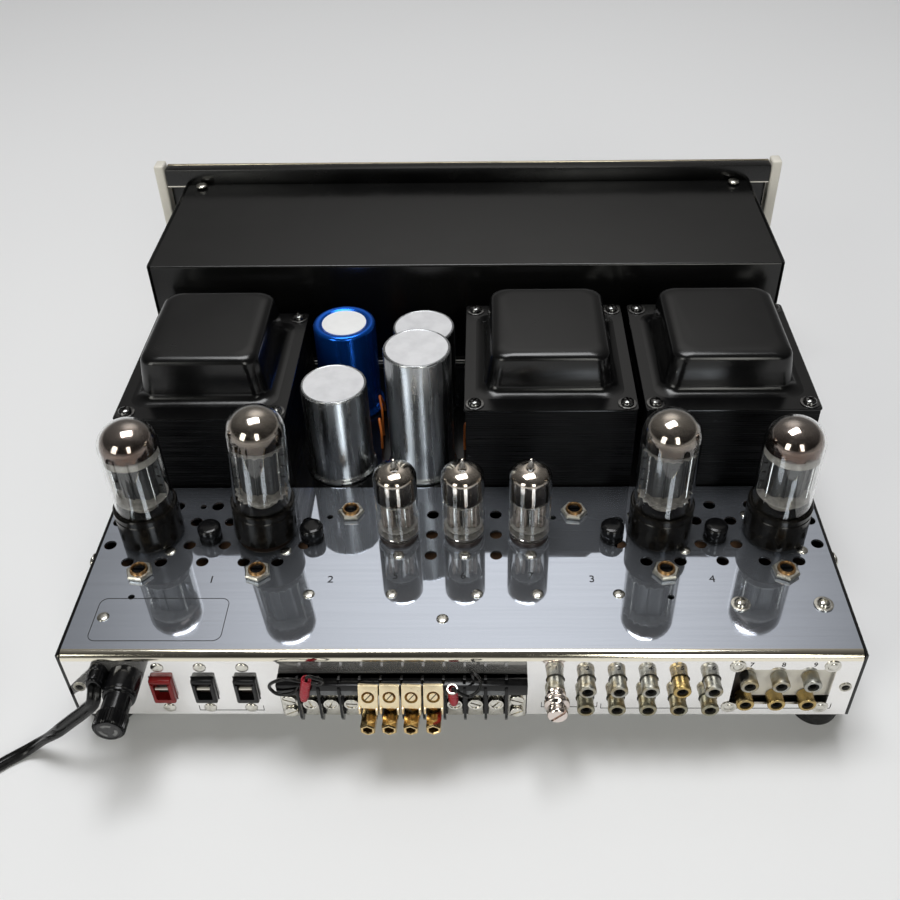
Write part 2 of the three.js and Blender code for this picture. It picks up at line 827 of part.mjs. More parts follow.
for (const [name, x, height] of tubePlaces) {
  const leans = height === leaningTubeHeight;
  const mesh = add(name, powerTube(height), glass);
  mesh.position.set(x, atDepth(tubeDepth), deckTop + fitGap + (leans ? leaningTubeRaise : 0));
  mesh.rotation.y = leans ? -leaningTubeAngle : 0;
}

// Driver valves, with the pointed tip of the seal on top
function smallTube() {
  const body = smallTubeHeight - smallTubeTip - smallSocketRise;
  const shoulder = smallTubeRadius / 2;
  const dome = [1 / 3, 2 / 3].map((share) => [
    smallTubeRadius * Math.cos(share * quarterTurn),
    body - shoulder * (1 - Math.sin(share * quarterTurn)),
  ]);
  const profile = [
    [0, 0],
    [smallTubeRadius, 0],
    [smallTubeRadius, body - shoulder],
    ...dome,
    [smallTubeStem, body],
    [smallTubeStem / 2, body + smallTubeTip - fitGap],
    [0, body + smallTubeTip],
  ];
  return turned(profile, 0, 0, 0, roundSides);
}

smallTubeX.forEach((x, k) => {
  const mesh = add(`driver_tube_${k + 1}`, smallTube(), glass);
  mesh.position.set(x, atDepth(smallTubeDepth), deckTop + smallSocketRise + fitGap);
});

// A screwdriver-set control: body on the board, threaded bush through the deck, nut on top.
function trimHolder(x, depth) {
  const y = atDepth(depth);
  const bodyTop = boardTop + trimBodyHeight;
  const nutBottom = deckTop + fitGap;
  return joined([
    rod(trimBodyRadius, x, y, boardTop - boardThickness / 2, bodyTop, smallSides),
    rod(trimBushRadius, x, y, bodyTop - sheet, deckTop + trimBushRise, smallSides),
    rod(trimNutFlats / Math.sqrt(3), x, y, nutBottom, nutBottom + trimNutHeight, hexSides),
  ]);
}

function trimBore(x, depth) {
  const top = deckTop + trimBushRise;
  const floor = top - trimShaftBelow - trimShaftLength - fitGap;
  return rod(trimShaftRadius + fitGap, x, atDepth(depth), floor, top + overrun, smallSides);
}

// An insulated test point: black cap on a threaded collar, and a stem down to the board.
function testJack(x) {
  const bottom = boardTop - boardThickness / 2;
  const profile = [
    [0, bottom],
    [testStemRadius, bottom],
    [testStemRadius, deckTop + fitGap],
    [testCollarRadius, deckTop + fitGap],
    [testCollarRadius, deckTop + testCollarRise],
    [testJackRadius, deckTop + testCollarRise],
    [testJackRadius, deckTop + testJackRise - testJackEdge],
    [testJackRadius - testJackEdge, deckTop + testJackRise],
    [0, deckTop + testJackRise],
  ];
  return turned(profile, x, atDepth(testJackDepth), 0, smallSides);
}

function boardPlate(x0, x1) {
  const [d0, d1] = [trimDepth - boardRearMargin, tubeDepth + boardFrontMargin];
  return slab(x0, x1, d0, d1, boardTop - boardThickness, boardTop);
}

function outputBoard(side) {
  const parts = [boardPlate(side * outputBoardInner, side * (outerTubeX + boardSideMargin))];
  const bores = [];
  for (const x of [side * innerTubeX, side * outerTubeX]) {
    const y = atDepth(tubeDepth);
    parts.push(rod(socketRadius, x, y, boardTop - boardThickness / 2, deckTop, roundSides));
    const floor = deckTop - keyLength - overrun;
    bores.push(rod(keyRadius + keyPlay, x, y, floor, deckTop + overrun, smallSides));
    parts.push(trimHolder(x, trimDepth));
    bores.push(trimBore(x, trimDepth));
  }
  for (const x of testJackX) parts.push(testJack(side * x));
  return cut(joined(parts), bores);
}

function driverBoard() {
  const parts = [boardPlate(-driverBoardHalf, driverBoardHalf)];
  const bottom = boardTop - boardThickness / 2;
  for (const x of smallTubeX) {
    const y = atDepth(smallTubeDepth);
    parts.push(rod(smallSocketRadius, x, y, bottom, deckTop + smallSocketRise, roundSides));
  }
  for (const side of sideSigns) parts.push(trimHolder(side * balanceTrimX, balanceTrimDepth));
  return cut(joined(parts), sideSigns.map((side) => trimBore(side * balanceTrimX, balanceTrimDepth)));
}

add("output_board_right", outputBoard(1), phenolic);
add("output_board_left", outputBoard(-1), phenolic);
add("driver_board", driverBoard(), phenolic);

for (const [name, x, depth] of trimPlaces) {
  const y = atDepth(depth);
  const top = deckTop + trimBushRise - trimShaftBelow;
  const shaft = rod(trimShaftRadius, x, y, top - trimShaftLength, top, smallSides);
  const half = trimShaftRadius + overrun;
  const slotHalf = trimSlotWidth / 2;
  const slot = block(x - half, y - slotHalf, top - trimSlotDepth, x + half, y + slotHalf, top + overrun);
  add(name, shaft.subtract(slot), nickel);
}

// Convenience outlets, held by a flange behind the rear face
function outlet(x) {
  const z = below(outletDrop);
  const halfWide = outletWidth / 2;
  const upright = (half, d0, d1, height) =>
    slab(x - half, x + half, d0, d1, z - height / 2, z + height / 2);
  const back = sheet + fitGap;
  const body = upright(halfWide, -outletReach, outletBody, outletHeight);
  const flange = upright(halfWide, back, back + outletFlangeThickness, outletFlangeHeight);
  const mouthEnd = outletMouthDepth - outletReach;
  const mouth = upright(outletMouthWidth / 2, -outletReach - overrun, mouthEnd, outletMouthHeight);
  return cut(body.add(flange), [mouth]);
}

outletX.forEach((x, k) => {
  add(`ac_outlet_${k + 1}`, outlet(x), k === 0 ? redPlastic : blackPlastic);
});

// Fuse
function fuseHolder() {
  const profile = [
    [0, -fuseInside],
    [fuseBodyRadius, -fuseInside],
    [fuseBodyRadius, fitGap],
    [fuseFlangeRadius, fitGap],
    [fuseFlangeRadius, fuseFlangeReach],
    [fuseBodyRadius, fuseFlangeReach],
    [fuseBodyRadius, fuseBodyReach],
    [0, fuseBodyReach],
  ];
  const z = below(fuseDrop);
  const bore = rodBack(fuseBore, fuseX, rearY, rearY + fuseBodyReach + overrun, z, smallSides);
  return turnedBack(profile, fuseX, rearY, z, roundSides).subtract(bore);
}

function fuseCap() {
  const start = fuseBodyReach + fitGap;
  const end = start + fuseCapLength;
  const stem = fuseBore - fitGap;
  const profile = [
    [0, fuseBodyReach - fuseCapStem],
    [stem, fuseBodyReach - fuseCapStem],
    [stem, start],
    [fuseCapRadius - fuseCapEdge, start],
    [fuseCapRadius, start + fuseCapEdge],
    [fuseCapRadius, end - fuseCapEdge],
    [fuseCapRadius - fuseCapEdge, end],
    [0, end],
  ];
  return turnedBack(profile, fuseX, rearY, below(fuseDrop), roundSides);
}

add("fuse_holder", fuseHolder(), blackPlastic);
add("fuse_cap", fuseCap(), blackPlastic);

// Terminal strip: ridge, body, barriers, screw plates, and an ear with two screws at each end
const isPostTerminal = (k) => k >= postFirstTerminal && k < postFirstTerminal + postCount;
const terminalX = (k) => (finX(k) + finX(k + 1)) / 2;

function terminalStrip() {
  const ends = [finX(stripTerminals) - stripEarWidth, finX(0) + stripEarWidth];
  const onRear = (x0, x1, reach, top, bottom) =>
    slab(x0, x1, -fitGap, -reach, below(bottom), below(top));
  const screw = (radius, x, drop, from) =>
    rodBack(radius, x, rearY + from - fitGap, rearY + from + stripScrewHead, below(drop), smallSides);
  const parts = [
    onRear(...ends, stripRidge, stripTopDrop, stripRidgeDrop),
    onRear(...ends, stripBase, stripTopDrop, stripBottomDrop),
  ];
  const finHalf = stripFinThickness / 2;
  for (let k = 0; k <= stripTerminals; k += 1) {
    const x = finX(k);
    parts.push(onRear(x - finHalf, x + finHalf, stripFinReach, stripTopDrop, stripBottomDrop));
  }
  const plateHalf = stripPlateWidth / 2;
  for (let k = 0; k < stripTerminals; k += 1) {
    const x = terminalX(k);
    parts.push(onRear(x - plateHalf, x + plateHalf, stripPlate, stripTopDrop, stripBottomDrop));
    if (!isPostTerminal(k)) parts.push(screw(stripScrewRadius, x, stripScrewDrop, stripPlate));
  }
  for (const x of [ends[0] + stripEarWidth / 2, ends[1] - stripEarWidth / 2]) {
    for (const side of sideSigns) {
      const middle = (stripRidgeDrop + stripBottomDrop) / 2;
      const drop = middle + (side * stripEarScrewPitch) / 2;
      parts.push(screw(stripEarScrewRadius, x, drop, stripBase));
    }
  }
  return joined(parts);
}

add("terminal_strip", terminalStrip(), blackPlastic);

// Gold adaptors: an upright plate with a hexagonal tube below it, on a foot held by the terminal
function speakerPost() {
  const back = stripFinReach + fitGap;
  const front = back + postPlateThickness;
  const half = postPlateWidth / 2;
  const webHalf = postWebWidth / 2;
  const tubeZ = below(postTubeDrop);
  const foot = stripPlate + fitGap;
  const end = rearY + postTubeReach;
  const parts = [
    slab(-half, half, -back, -front, below(postBottomDrop), below(postTopDrop)),
    slab(-webHalf, webHalf, -foot, -front, tubeZ, below(stripRidgeDrop + fitGap)),
    hexBack(postTubeFlats, 0, rearY + back, end, tubeZ),
  ];
  const bore = rodBack(postBore, 0, end - postBoreDepth, end + overrun, tubeZ, holeSides);
  return cut(joined(parts), [bore]);
}

// Each adaptor turns about the upright line down its plate, which stays clear of the barriers.
for (let k = 0; k < postCount; k += 1) {
  const pivotY = rearY + stripFinReach;
  const swing = (postPlateWidth / 2) * Math.sin(THREE.MathUtils.degToRad(postTurns[k]));
  const post = speakerPost().translate([0, -pivotY, 0]).rotate([0, 0, -postTurns[k]]);
  const x = terminalX(postFirstTerminal + k) + postShiftShares[k] * stripPitch;
  add(`speaker_post_${k + 1}`, post.translate([x, pivotY + swing, 0]), gold);
}

// Phono jacks on their boards behind the rear face
function jackBoard(columns, face, tip) {
  const margin = jackRadius + jackBoardMargin;
  const left = Math.min(...columns) - margin;
  const right = Math.max(...columns) + margin;
  const [top, bottom] = [below(jackDrops[0] - margin), below(jackDrops[1] + margin)];
  const parts = [slab(left, right, face, face + jackBoardThickness, bottom, top)];
  const bores = [];
  for (const x of columns) {
    for (const drop of jackDrops) {
      const near = atDepth(face + jackBoardThickness / 2);
      const far = rearY + tip;
      parts.push(rodBack(jackRadius, x, near, far, below(drop), smallSides));
      bores.push(rodBack(jackBore, x, far - jackBoreDepth, far + overrun, below(drop), holeSides));
    }
  }
  return cut(joined(parts), bores);
}

// An adaptor that stays pushed onto the first jack of the top row.
function pushedAdaptor() {
  const pin = jackBore + fitGap;
  const waist = jackReach + adaptorWaist;
  const flange = waist + adaptorFlange;
  const profile = [
    [0, jackReach - jackBoreDepth - fitGap],
    [pin, jackReach - jackBoreDepth - fitGap],
    [pin, jackReach],
    [adaptorRadius, jackReach],
    [adaptorRadius, waist],
    [adaptorFlangeRadius, waist],
    [adaptorFlangeRadius, flange],
    [adaptorRadius, flange + adaptorSlope],
    [adaptorRadius, flange + adaptorTail],
    [0, flange + adaptorTail],
  ];
  return turnedBack(profile, jackX[0], rearY, below(jackDrops[0]), smallSides);
}

const boardFace = sheet + fitGap;
add("phono_jack_board", jackBoard(jackX, boardFace, jackReach).add(pushedAdaptor()), nickel);
const sideBoard = jackBoard(sideJackX, boardFace + sideJackRecess, jackReach - sideJackRecess);
add("phono_jack_board_side", sideBoard, nickel);

// Gland of the mains lead, an upright oval
function gland() {
  const full = glandHeight / 2;
  const neck = glandNeckHeight / 2;
  return ovalBack([
    [0, -glandLip - sheet],
    [neck, -glandLip - sheet],
    [neck, fitGap],
    [full, fitGap],
    [full, glandReach - glandLip],
    [neck, glandReach],
    [0, glandReach],
  ]);
}

add("cord_gland", gland(), blackPlastic);

// A rounded flat section, as [across, up] points, between an oval and a box.
function cordSection(sides) {
  const start = sides % 4 ? 0 : 1 / 2;
  const bulge = (value) => Math.sign(value) * Math.abs(value) ** cordRoundShare;
  const raw = counted(sides, (s) => {
    const angle = ((s + start) * fullTurn) / sides;
    return [bulge(Math.cos(angle)), bulge(Math.sin(angle))];
  });
  const wide = Math.max(...raw.map(([across]) => across));
  const tall = Math.max(...raw.map(([, up]) => up));
  return raw.map(([across, up]) => [((across / wide) * cordWidth) / 2, ((up / tall) * cordThickness) / 2]);
}

// The flat lead through a list of points, its width level.
function lead(points, sides) {
  const vertical = new THREE.Vector3(0, 0, 1);
  const section = cordSection(sides);
  const rings = points.map((point, k) => {
    const before = points[Math.max(k - 1, 0)];
    const after = points[Math.min(k + 1, points.length - 1)];
    const tangent = after.clone().sub(before).normalize();
    const across = tangent.clone().cross(vertical).normalize();
    const lift = across.clone().cross(tangent);
    return section.map(([x, z]) => {
      const corner = point.clone().addScaledVector(across, x).addScaledVector(lift, z);
      corner.z = Math.max(corner.z, 0); // nothing dips into the table
      return corner.toArray();
    });
  });
  return lofted(rings);
}

// The coil: layers that spiral in and out in turn, then a lead outside them down to the table.
function coilCentreline() {
  const span = coilTurnsPerLayer + coilClimb;
  const turns = coilLayers * span - coilClimb;
  const count = Math.round((turns + coilExitOut + coilExitDown) * coilSteps);
  const swing = (coilTurnPitch * coilTurnsPerLayer) / 2;
  const ease = (share) => (1 - Math.cos(Math.min(Math.max(share, 0), 1) * Math.PI)) / 2;
  return counted(count + 1, (k) => {
    const turn = k / coilSteps;
    const angle = coilStartAngle - turn * fullTurn;
    const layer = Math.min(Math.floor(turn / span), coilLayers - 1);
    const within = turn - layer * span;
    const along = Math.min(within / coilTurnsPerLayer, 1);
    const inward = layer % 2 === 0 ? 1 - 2 * along : 2 * along - 1;
    const climbing = layer < coilLayers - 1 ? ease((within - coilTurnsPerLayer) / coilClimb) : 0;
    const leaving = turn - turns;
    const radius = coilRadius + inward * swing + ease(leaving / coilExitOut) * coilExitSwing;
    const height = (layer + climbing) * (1 - ease((leaving - coilExitOut) / coilExitDown));
    return new THREE.Vector3(
      coilX + radius * Math.cos(angle),
      rearY + coilReach + radius * Math.sin(angle),
      cordThickness / 2 + height * coilLayerPitch,
    );
  });
}

const coilPath = coilCentreline();
const coilInward = coilPath[1].clone().sub(coilPath[0]).normalize();
const coilOutward = coilPath.at(-1).clone().sub(coilPath.at(-2)).normalize();
coilPath.unshift(coilPath[0].clone().addScaledVector(coilInward, -cordWidth));
coilPath.push(coilPath.at(-1).clone().addScaledVector(coilOutward, cordWidth));

// Least clear distance between stretches of the coil that are at least half a turn apart.
function coilGap() {
  let least = Infinity;
  coilPath.forEach((a, i) => {
    for (const b of coilPath.slice(i + coilSteps / 2)) {
      const aside = Math.hypot(a.x - b.x, a.y - b.y) - cordWidth;
      const above = Math.abs(a.z - b.z) - cordThickness;
      least = Math.min(least, Math.max(aside, above));
    }
  });
  return least;
}

console.log(`least gap of the cord coil to itself: ${coilGap().toFixed(2)} mm`);
add("cord_coil", lead(coilPath, coilSides), rubber);

// Route of the free stretch, chosen by hand: x, reach behind the rear face, z
const cordRoute = [
  [165.2, 5.3, 50.6],
  [165.1, 8.5, 50.4],
  [164.8, 11.6, 48.6],
  [166, 13.4, 44.6],
  [170.2, 13.3, 39.6],
  [174.8, 13, 34.8],
  [179.4, 12.5, 30.2],
  [184.2, 12.1, 25.3],
  [189, 11.6, 20.5],
  [193.8, 10.6, 15.8],
  [198.6, 9.6, 11],
  [203.8, 9.2, 6.4],
  [209.9, 10.6, 2.8],
  [216.5, 14.6, 1.7],
  [223, 20, 1.7],
  [230, 26.4, 1.7],
  [238, 32.4, 1.7],
  [247.5, 37.4, 1.7],
  [258.5, 40.4, 1.7],
  [270, 41.2, 1.7],
];

const coilStart = coilPath[0].clone().addScaledVector(coilInward, -fitGap);
const [cordExit, ...cordBends] = cordRoute.map(
  ([x, reach, z]) => new THREE.Vector3(x, rearY + reach, z),
);
const cordEnd = [coilStart.clone().addScaledVector(coilInward, -2 * cordWidth), coilStart];
const cordCurve = new THREE.CatmullRomCurve3([...cordBends, ...cordEnd], false, "centripetal");
const cordSteps = Math.round(cordCurve.getLength() / cordStep);
add("power_cord", lead([cordExit, ...cordCurve.getSpacedPoints(cordSteps)], cordSides), rubber);

// Plug on the table at the coil's far end, its blades pointing away
function plug() {
  const end = plugNeckLength + plugLength;
  const middle = plugHeight / 2;
  const blades = sideSigns.map((side) => {
    const y = (side * bladeSpacing) / 2;
    const [y0, y1] = [y - bladeThickness / 2, y + bladeThickness / 2];
    return block(end - overrun, y0, middle - bladeWidth / 2, end + bladeLength, y1, middle + bladeWidth / 2);
  });
  return joined([
    block(0, -plugNeckWidth / 2, 0, plugNeckLength + overrun, plugNeckWidth / 2, plugNeckHeight),
    block(plugNeckLength, -plugWidth / 2, 0, end, plugWidth / 2, plugHeight),
    ...blades,
  ]);
}

const plugMesh = add("power_plug", plug(), blackPlastic);
const plugStart = coilPath.at(-1).clone().addScaledVector(coilOutward, fitGap);
plugMesh.position.set(plugStart.x, plugStart.y, 0);
plugMesh.rotation.z = Math.atan2(coilOutward.y, coilOutward.x);

// Knobs, each with its shaft into the potentiometer behind the panel
const potFront = chassisDepth - sheet - potGap;
const potBack = potFront - potLength;

for (const [name, x, radius] of knobPlaces) {
  const front = knobFace + knobLength;
  const profile = [
    [0, -front],
    [radius - 2 * knobTaper, -front],
    [radius - knobTaper, knobTaper - front],
    [radius, -knobFace - knobSkirt],
    [radius + knobSkirtStep, -knobFace - knobSkirt],
    [radius + knobSkirtStep, -knobFace],
    [shaftRadius, -knobFace],
    [shaftRadius, shaftTail - potFront],
    [0, shaftTail - potFront],
  ];
  add(name, turnedBack(profile, x, rearY, knobZ, roundSides), champagne);
}

// Bracket with the potentiometers, and the preamplifier board on its legs
function controlBoard() {
  const half = halfWidth - bracketMargin;
  const bottom = deckTop + bracketRise;
  const shelf = bottom + circuitRise;
  const shelfTop = shelf + circuitThickness;
  const far = potBack - circuitDepth;
  const wall = potBack - bracketThickness;
  const parts = [
    slab(-half, half, wall, potBack, bottom, bottom + bracketHeight),
    slab(-half, half, far, potBack, shelf, shelfTop),
    slab(-half, bracketThickness - half, far, potBack, deckTop, shelfTop),
    slab(half - bracketThickness, half, far, potBack, deckTop, shelfTop),
  ];
  for (const [, x] of knobPlaces) {
    parts.push(rodBack(potRadius, x, atDepth(potFront), atDepth(wall), knobZ, smallSides));
  }
  for (let k = 0; k < filterParts; k += 1) {
    const x = (k - (filterParts - 1) / 2) * filterPartPitch;
    const y = atDepth(wall - circuitDepth / 2);
    parts.push(rod(filterPartRadius, x, y, shelf, shelfTop + filterPartHeight, smallSides));
  }
  const bores = knobPlaces.map(([, x]) => {
    const [y0, y1] = [atDepth(potFront) - overrun, atDepth(wall) + overrun];
    return rodBack(shaftRadius + fitGap, x, y0, y1, knobZ, smallSides);
  });
  return cut(joined(parts), bores);
}

add("control_board", controlBoard(), phenolic);

// Slide of the power switch: a lever through the panel on a plate behind the chassis front
function powerSlide() {
  const inner = chassisDepth - sheet - fitGap;
  const back = inner - leverTail;
  const upright = (half, d0, d1, height) =>
    slab(powerX - half, powerX + half, d0, d1, powerZ - height / 2, powerZ + height / 2);
  const lever = upright(leverWidth / 2, back, panelFrontDepth + leverReach, leverHeight);
  const plate = upright(leverWidth / 2 + leverPlateMargin, back, inner, leverPlateHeight);
  return lever.add(plate);
}

add("power_switch", powerSlide(), blackPlastic);

export default amplifier;
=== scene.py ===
import math
import random

import bmesh
import bpy
from mathutils import Matrix, Vector


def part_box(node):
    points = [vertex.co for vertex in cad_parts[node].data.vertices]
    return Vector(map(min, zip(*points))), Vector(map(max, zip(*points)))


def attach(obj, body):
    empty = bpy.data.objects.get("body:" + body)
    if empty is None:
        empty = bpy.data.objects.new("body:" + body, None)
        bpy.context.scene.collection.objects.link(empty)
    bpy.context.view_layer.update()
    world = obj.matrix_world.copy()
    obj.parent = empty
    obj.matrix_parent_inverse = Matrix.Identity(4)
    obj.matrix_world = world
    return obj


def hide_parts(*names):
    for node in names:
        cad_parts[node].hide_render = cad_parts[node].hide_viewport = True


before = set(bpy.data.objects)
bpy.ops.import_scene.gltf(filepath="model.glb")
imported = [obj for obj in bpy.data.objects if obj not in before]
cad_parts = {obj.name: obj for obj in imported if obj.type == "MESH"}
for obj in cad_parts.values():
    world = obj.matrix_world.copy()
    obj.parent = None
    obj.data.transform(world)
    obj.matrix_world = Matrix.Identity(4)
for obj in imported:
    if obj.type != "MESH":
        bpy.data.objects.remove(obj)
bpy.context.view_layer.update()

# Metres, in the frame of the CAD model: the panel faces -Y and the connectors face +Y.
body = "amplifier"
deck_low, deck_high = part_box("chrome_deck")
pan_low, pan_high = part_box("chassis_pan")
rear_y = deck_high.y
deck_top = deck_high.z
deck_front = deck_low.y
deck_half = deck_high.x
sheet = 0.0012
fit_gap = 0.0003
hair = 0.00005
# How far edges are rounded
hair_edge = 0.0002
thin_edge = 0.0003
small_edge = 0.0004
plain_edge = 0.0005
soft_edge = 0.0006
wide_edge = 0.0008
fine_sides = 96
round_sides = 48
small_sides = 28
random.seed(7)


def at(x, y, z):
    return Matrix.Translation((x, y, z))


def spin(angle, axis="Z"):
    return Matrix.Rotation(angle, 4, axis)


def middle_of(name):
    """The middle of a node's box."""
    low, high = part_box(name)
    return (low + high) / 2


in_place = Matrix()
turn_back = spin(-math.pi / 2, "X")
turn_front = spin(math.pi / 2, "X")


def on_rear(x, z, reach=0):
    """Local Z points out of the rear face."""
    return at(x, rear_y + reach, z) @ turn_back


# Camera, fitted to the photograph
photo_size = 900
focal_px = 1037.1
centre_x_px = 469.8
centre_y_px = 448.5
sensor_width = 36
camera_x = -0.0135
camera_behind = 0.2963
camera_rise = 0.3711
camera_yaw = math.radians(-1.336)
camera_pitch = math.radians(40.083)
camera_roll = math.radians(1.077)


def make_camera():
    data = bpy.data.cameras.new("camera")
    data.sensor_width = sensor_width
    data.lens = focal_px / photo_size * sensor_width
    data.shift_x = (photo_size / 2 - centre_x_px) / photo_size
    data.shift_y = (centre_y_px - photo_size / 2) / photo_size
    camera = bpy.data.objects.new("camera", data)
    bpy.context.scene.collection.objects.link(camera)
    flat = math.cos(camera_pitch)
    forward = Vector((-math.sin(camera_yaw) * flat, -math.cos(camera_yaw) * flat, -math.sin(camera_pitch)))
    level = Vector((-math.cos(camera_yaw), math.sin(camera_yaw), 0))
    down = forward.cross(level)
    right = math.cos(camera_roll) * level + math.sin(camera_roll) * down
    image_up = forward.cross(right) * -1
    turn = Matrix((right, image_up, -forward)).transposed().to_4x4()
    camera.matrix_world = at(camera_x, rear_y + camera_behind, deck_top + camera_rise) @ turn
    bpy.context.scene.camera = camera


make_camera()


# Shapes: each is a list of points and a list of faces
def turned(profile, sides, closed=False):
    """A solid turned about Z; the profile lists (radius, height)."""
    points, faces, rings = [], [], []
    for radius, height in profile:
        if radius < hair / 10:
            rings.append([len(points)] * sides)
            points.append((0, 0, height))
            continue
        rings.append([len(points) + k for k in range(sides)])
        for k in range(sides):
            angle = k * math.tau / sides
            points.append((radius * math.cos(angle), radius * math.sin(angle), height))
    pairs = list(zip(rings, rings[1:]))
    if closed:
        pairs.append((rings[-1], rings[0]))
    for low, high in pairs:
        for k in range(sides):
            n = (k + 1) % sides
            face = list(dict.fromkeys([low[k], low[n], high[n], high[k]]))
            if len(face) > 2:
                faces.append(face)
    return points, faces


def rod(radius, low, high, sides=round_sides):
    """A solid cylinder about Z."""
    return turned([(0, low), (radius, low), (radius, high), (0, high)], sides)


def sleeve(inner, outer, low, high, edge, sides=round_sides):
    """A hollow cylinder about Z; an edge of 0 leaves it sharp."""
    profile = [(inner, low), (outer, low), (outer, high), (inner, high)]
    return turned(rounded(profile, edge, 3, True) if edge else profile, sides, True)


def inset_points(radius, height, steps):
    """Points at insets from a radius and drops from a height."""
    return [(radius - inset, height - drop) for inset, drop in steps]


def rounded(outline, radius, steps=4, closed=False):
    """Rounds the corners of an outline."""
    points = [Vector(p) for p in outline]
    ring = [points[-1], *points, points[0]] if closed else points
    result = [] if closed else [points[0]]
    for before, corner, after in zip(ring, ring[1:], ring[2:]):
        reach = min(radius, (before - corner).length / 2, (after - corner).length / 2)
        start = corner + (before - corner).normalized() * reach
        end = corner + (after - corner).normalized() * reach
        for k in range(steps + 1):
            t = k / steps
            result.append(start * (1 - t) ** 2 + corner * 2 * t * (1 - t) + end * t**2)
    if not closed:
        result.append(points[-1])
    return [tuple(p) for p in result]


def prism(outline, low, high):
    """An outline in X and Y, drawn up from one height to another."""
    count = len(outline)
    points = [(x, y, z) for z in (low, high) for x, y in outline]
    faces = [[k, (k + 1) % count, count + (k + 1) % count, count + k] for k in range(count)]
    faces.append(list(range(count)))
    faces.append([count + k for k in range(count)])
    return points, faces


def lofted(rings, closed=False):
    """A skin over rings of equal point counts."""
    count = len(rings[0])
    points = [p for ring in rings for p in ring]
    faces = []
    total = len(rings)
    for r in range(total if closed else total - 1):
        for k in range(count):
            n = (k + 1) % count
            a, b = r * count, (r + 1) % total * count
            faces.append([a + k, a + n, b + n, b + k])
    if not closed:
        faces.append(list(range(count)))
        faces.append([(total - 1) * count + k for k in range(count)])
    return points, faces


def block(width, depth, height, edge=0, steps=2):
    """A block about the origin, with rounded edges."""
    bm = bmesh.new()
    bmesh.ops.create_cube(bm, size=1, matrix=Matrix.Diagonal((width, depth, height, 1)))
    if edge:
        bmesh.ops.bevel(bm, geom=bm.edges[:], offset=edge, segments=steps, profile=0.5, affect="EDGES")
    shape = shape_of(bm)
    bm.free()
    return shape


def shape_of(bm):
    bm.verts.index_update()
    return [tuple(v.co) for v in bm.verts], [[v.index for v in f.verts] for f in bm.faces]


def moved(shape, place):
    return [tuple(place @ Vector(p)) for p in shape[0]], shape[1]


def together(shapes):
    points, faces = [], []
    for more_points, more_faces in shapes:
        start = len(points)
        points += more_points
        faces += [[start + i for i in face] for face in more_faces]
    return points, faces


def mesh_of(name, shape):
    mesh = bpy.data.meshes.new(name)
    mesh.from_pydata(shape[0], [], shape[1])
    bm = bmesh.new()
    bm.from_mesh(mesh)
    bmesh.ops.recalc_face_normals(bm, faces=bm.faces)
    bm.to_mesh(mesh)
    bm.free()
    return mesh


def carved(shape, tools):
    """The shape with the tools cut out of it."""
    made = []
    for name, part in (("carved", shape), ("tools", together(tools))):
        ob = bpy.data.objects.new(name, mesh_of(name, part))
        bpy.context.scene.collection.objects.link(ob)
        made.append(ob)
    cut = made[0].modifiers.new("cut", "BOOLEAN")
    cut.operation = "DIFFERENCE"
    cut.solver = "EXACT"
    cut.object = made[1]
    view = bpy.context.evaluated_depsgraph_get()
    mesh = bpy.data.meshes.new_from_object(made[0].evaluated_get(view))
    bm = bmesh.new()
    bm.from_mesh(mesh)
    result = shape_of(bm)
    bm.free()
    for ob in made:
        bpy.data.objects.remove(ob)
    bpy.data.meshes.remove(mesh)
    return result


def tube_along(path, radius, sides=12):
    """A round wire along a list of points."""
    rings = []
    across = None
    for k, point in enumerate(path):
        here = Vector(point)
        ahead = (Vector(path[min(k + 1, len(path) - 1)]) - Vector(path[max(k - 1, 0)])).normalized()
        if across is None:
            across = ahead.orthogonal().normalized()
        across = (across - ahead * across.dot(ahead)).normalized()
        other = ahead.cross(across)
        angles = [s * math.tau / sides for s in range(sides)]
        rings.append([tuple(here + (across * math.cos(a) + other * math.sin(a)) * radius) for a in angles])
    return lofted(rings)


curve_steps = 24


def smooth_path(points, step):
    """A centripetal curve through the points, in equal steps."""
    p = [Vector(q) for q in points]
    p = [p[0] * 2 - p[1], *p, p[-1] * 2 - p[-2]]
    dense = []
    for a, b, c, d in zip(p, p[1:], p[2:], p[3:]):
        gaps = [math.sqrt((v - u).length) for u, v in ((a, b), (b, c), (c, d))]
        leave = ((b - a) / gaps[0] - (c - a) / (gaps[0] + gaps[1]) + (c - b) / gaps[1]) * gaps[1]
        arrive = ((c - b) / gaps[1] - (d - b) / (gaps[1] + gaps[2]) + (d - c) / gaps[2]) * gaps[1]
        for k in range(curve_steps):
            t = k / curve_steps
            cubic = 2 * b - 2 * c + leave + arrive
            square = 3 * c - 3 * b - 2 * leave - arrive
            dense.append(b + leave * t + square * t**2 + cubic * t**3)
    dense.append(p[-2])
    lengths = [0]
    for u, v in zip(dense, dense[1:]):
        lengths.append(lengths[-1] + (v - u).length)
    count = max(2, round(lengths[-1] / step))
    result, k = [], 0
    for s in range(count + 1):
        goal = lengths[-1] * s / count
        while k < len(dense) - 2 and lengths[k + 1] < goal:
            k += 1
        share = (goal - lengths[k]) / max(lengths[k + 1] - lengths[k], hair / 100)
        result.append(dense[k].lerp(dense[k + 1], share))
    return result


smooth_limit = math.radians(34)


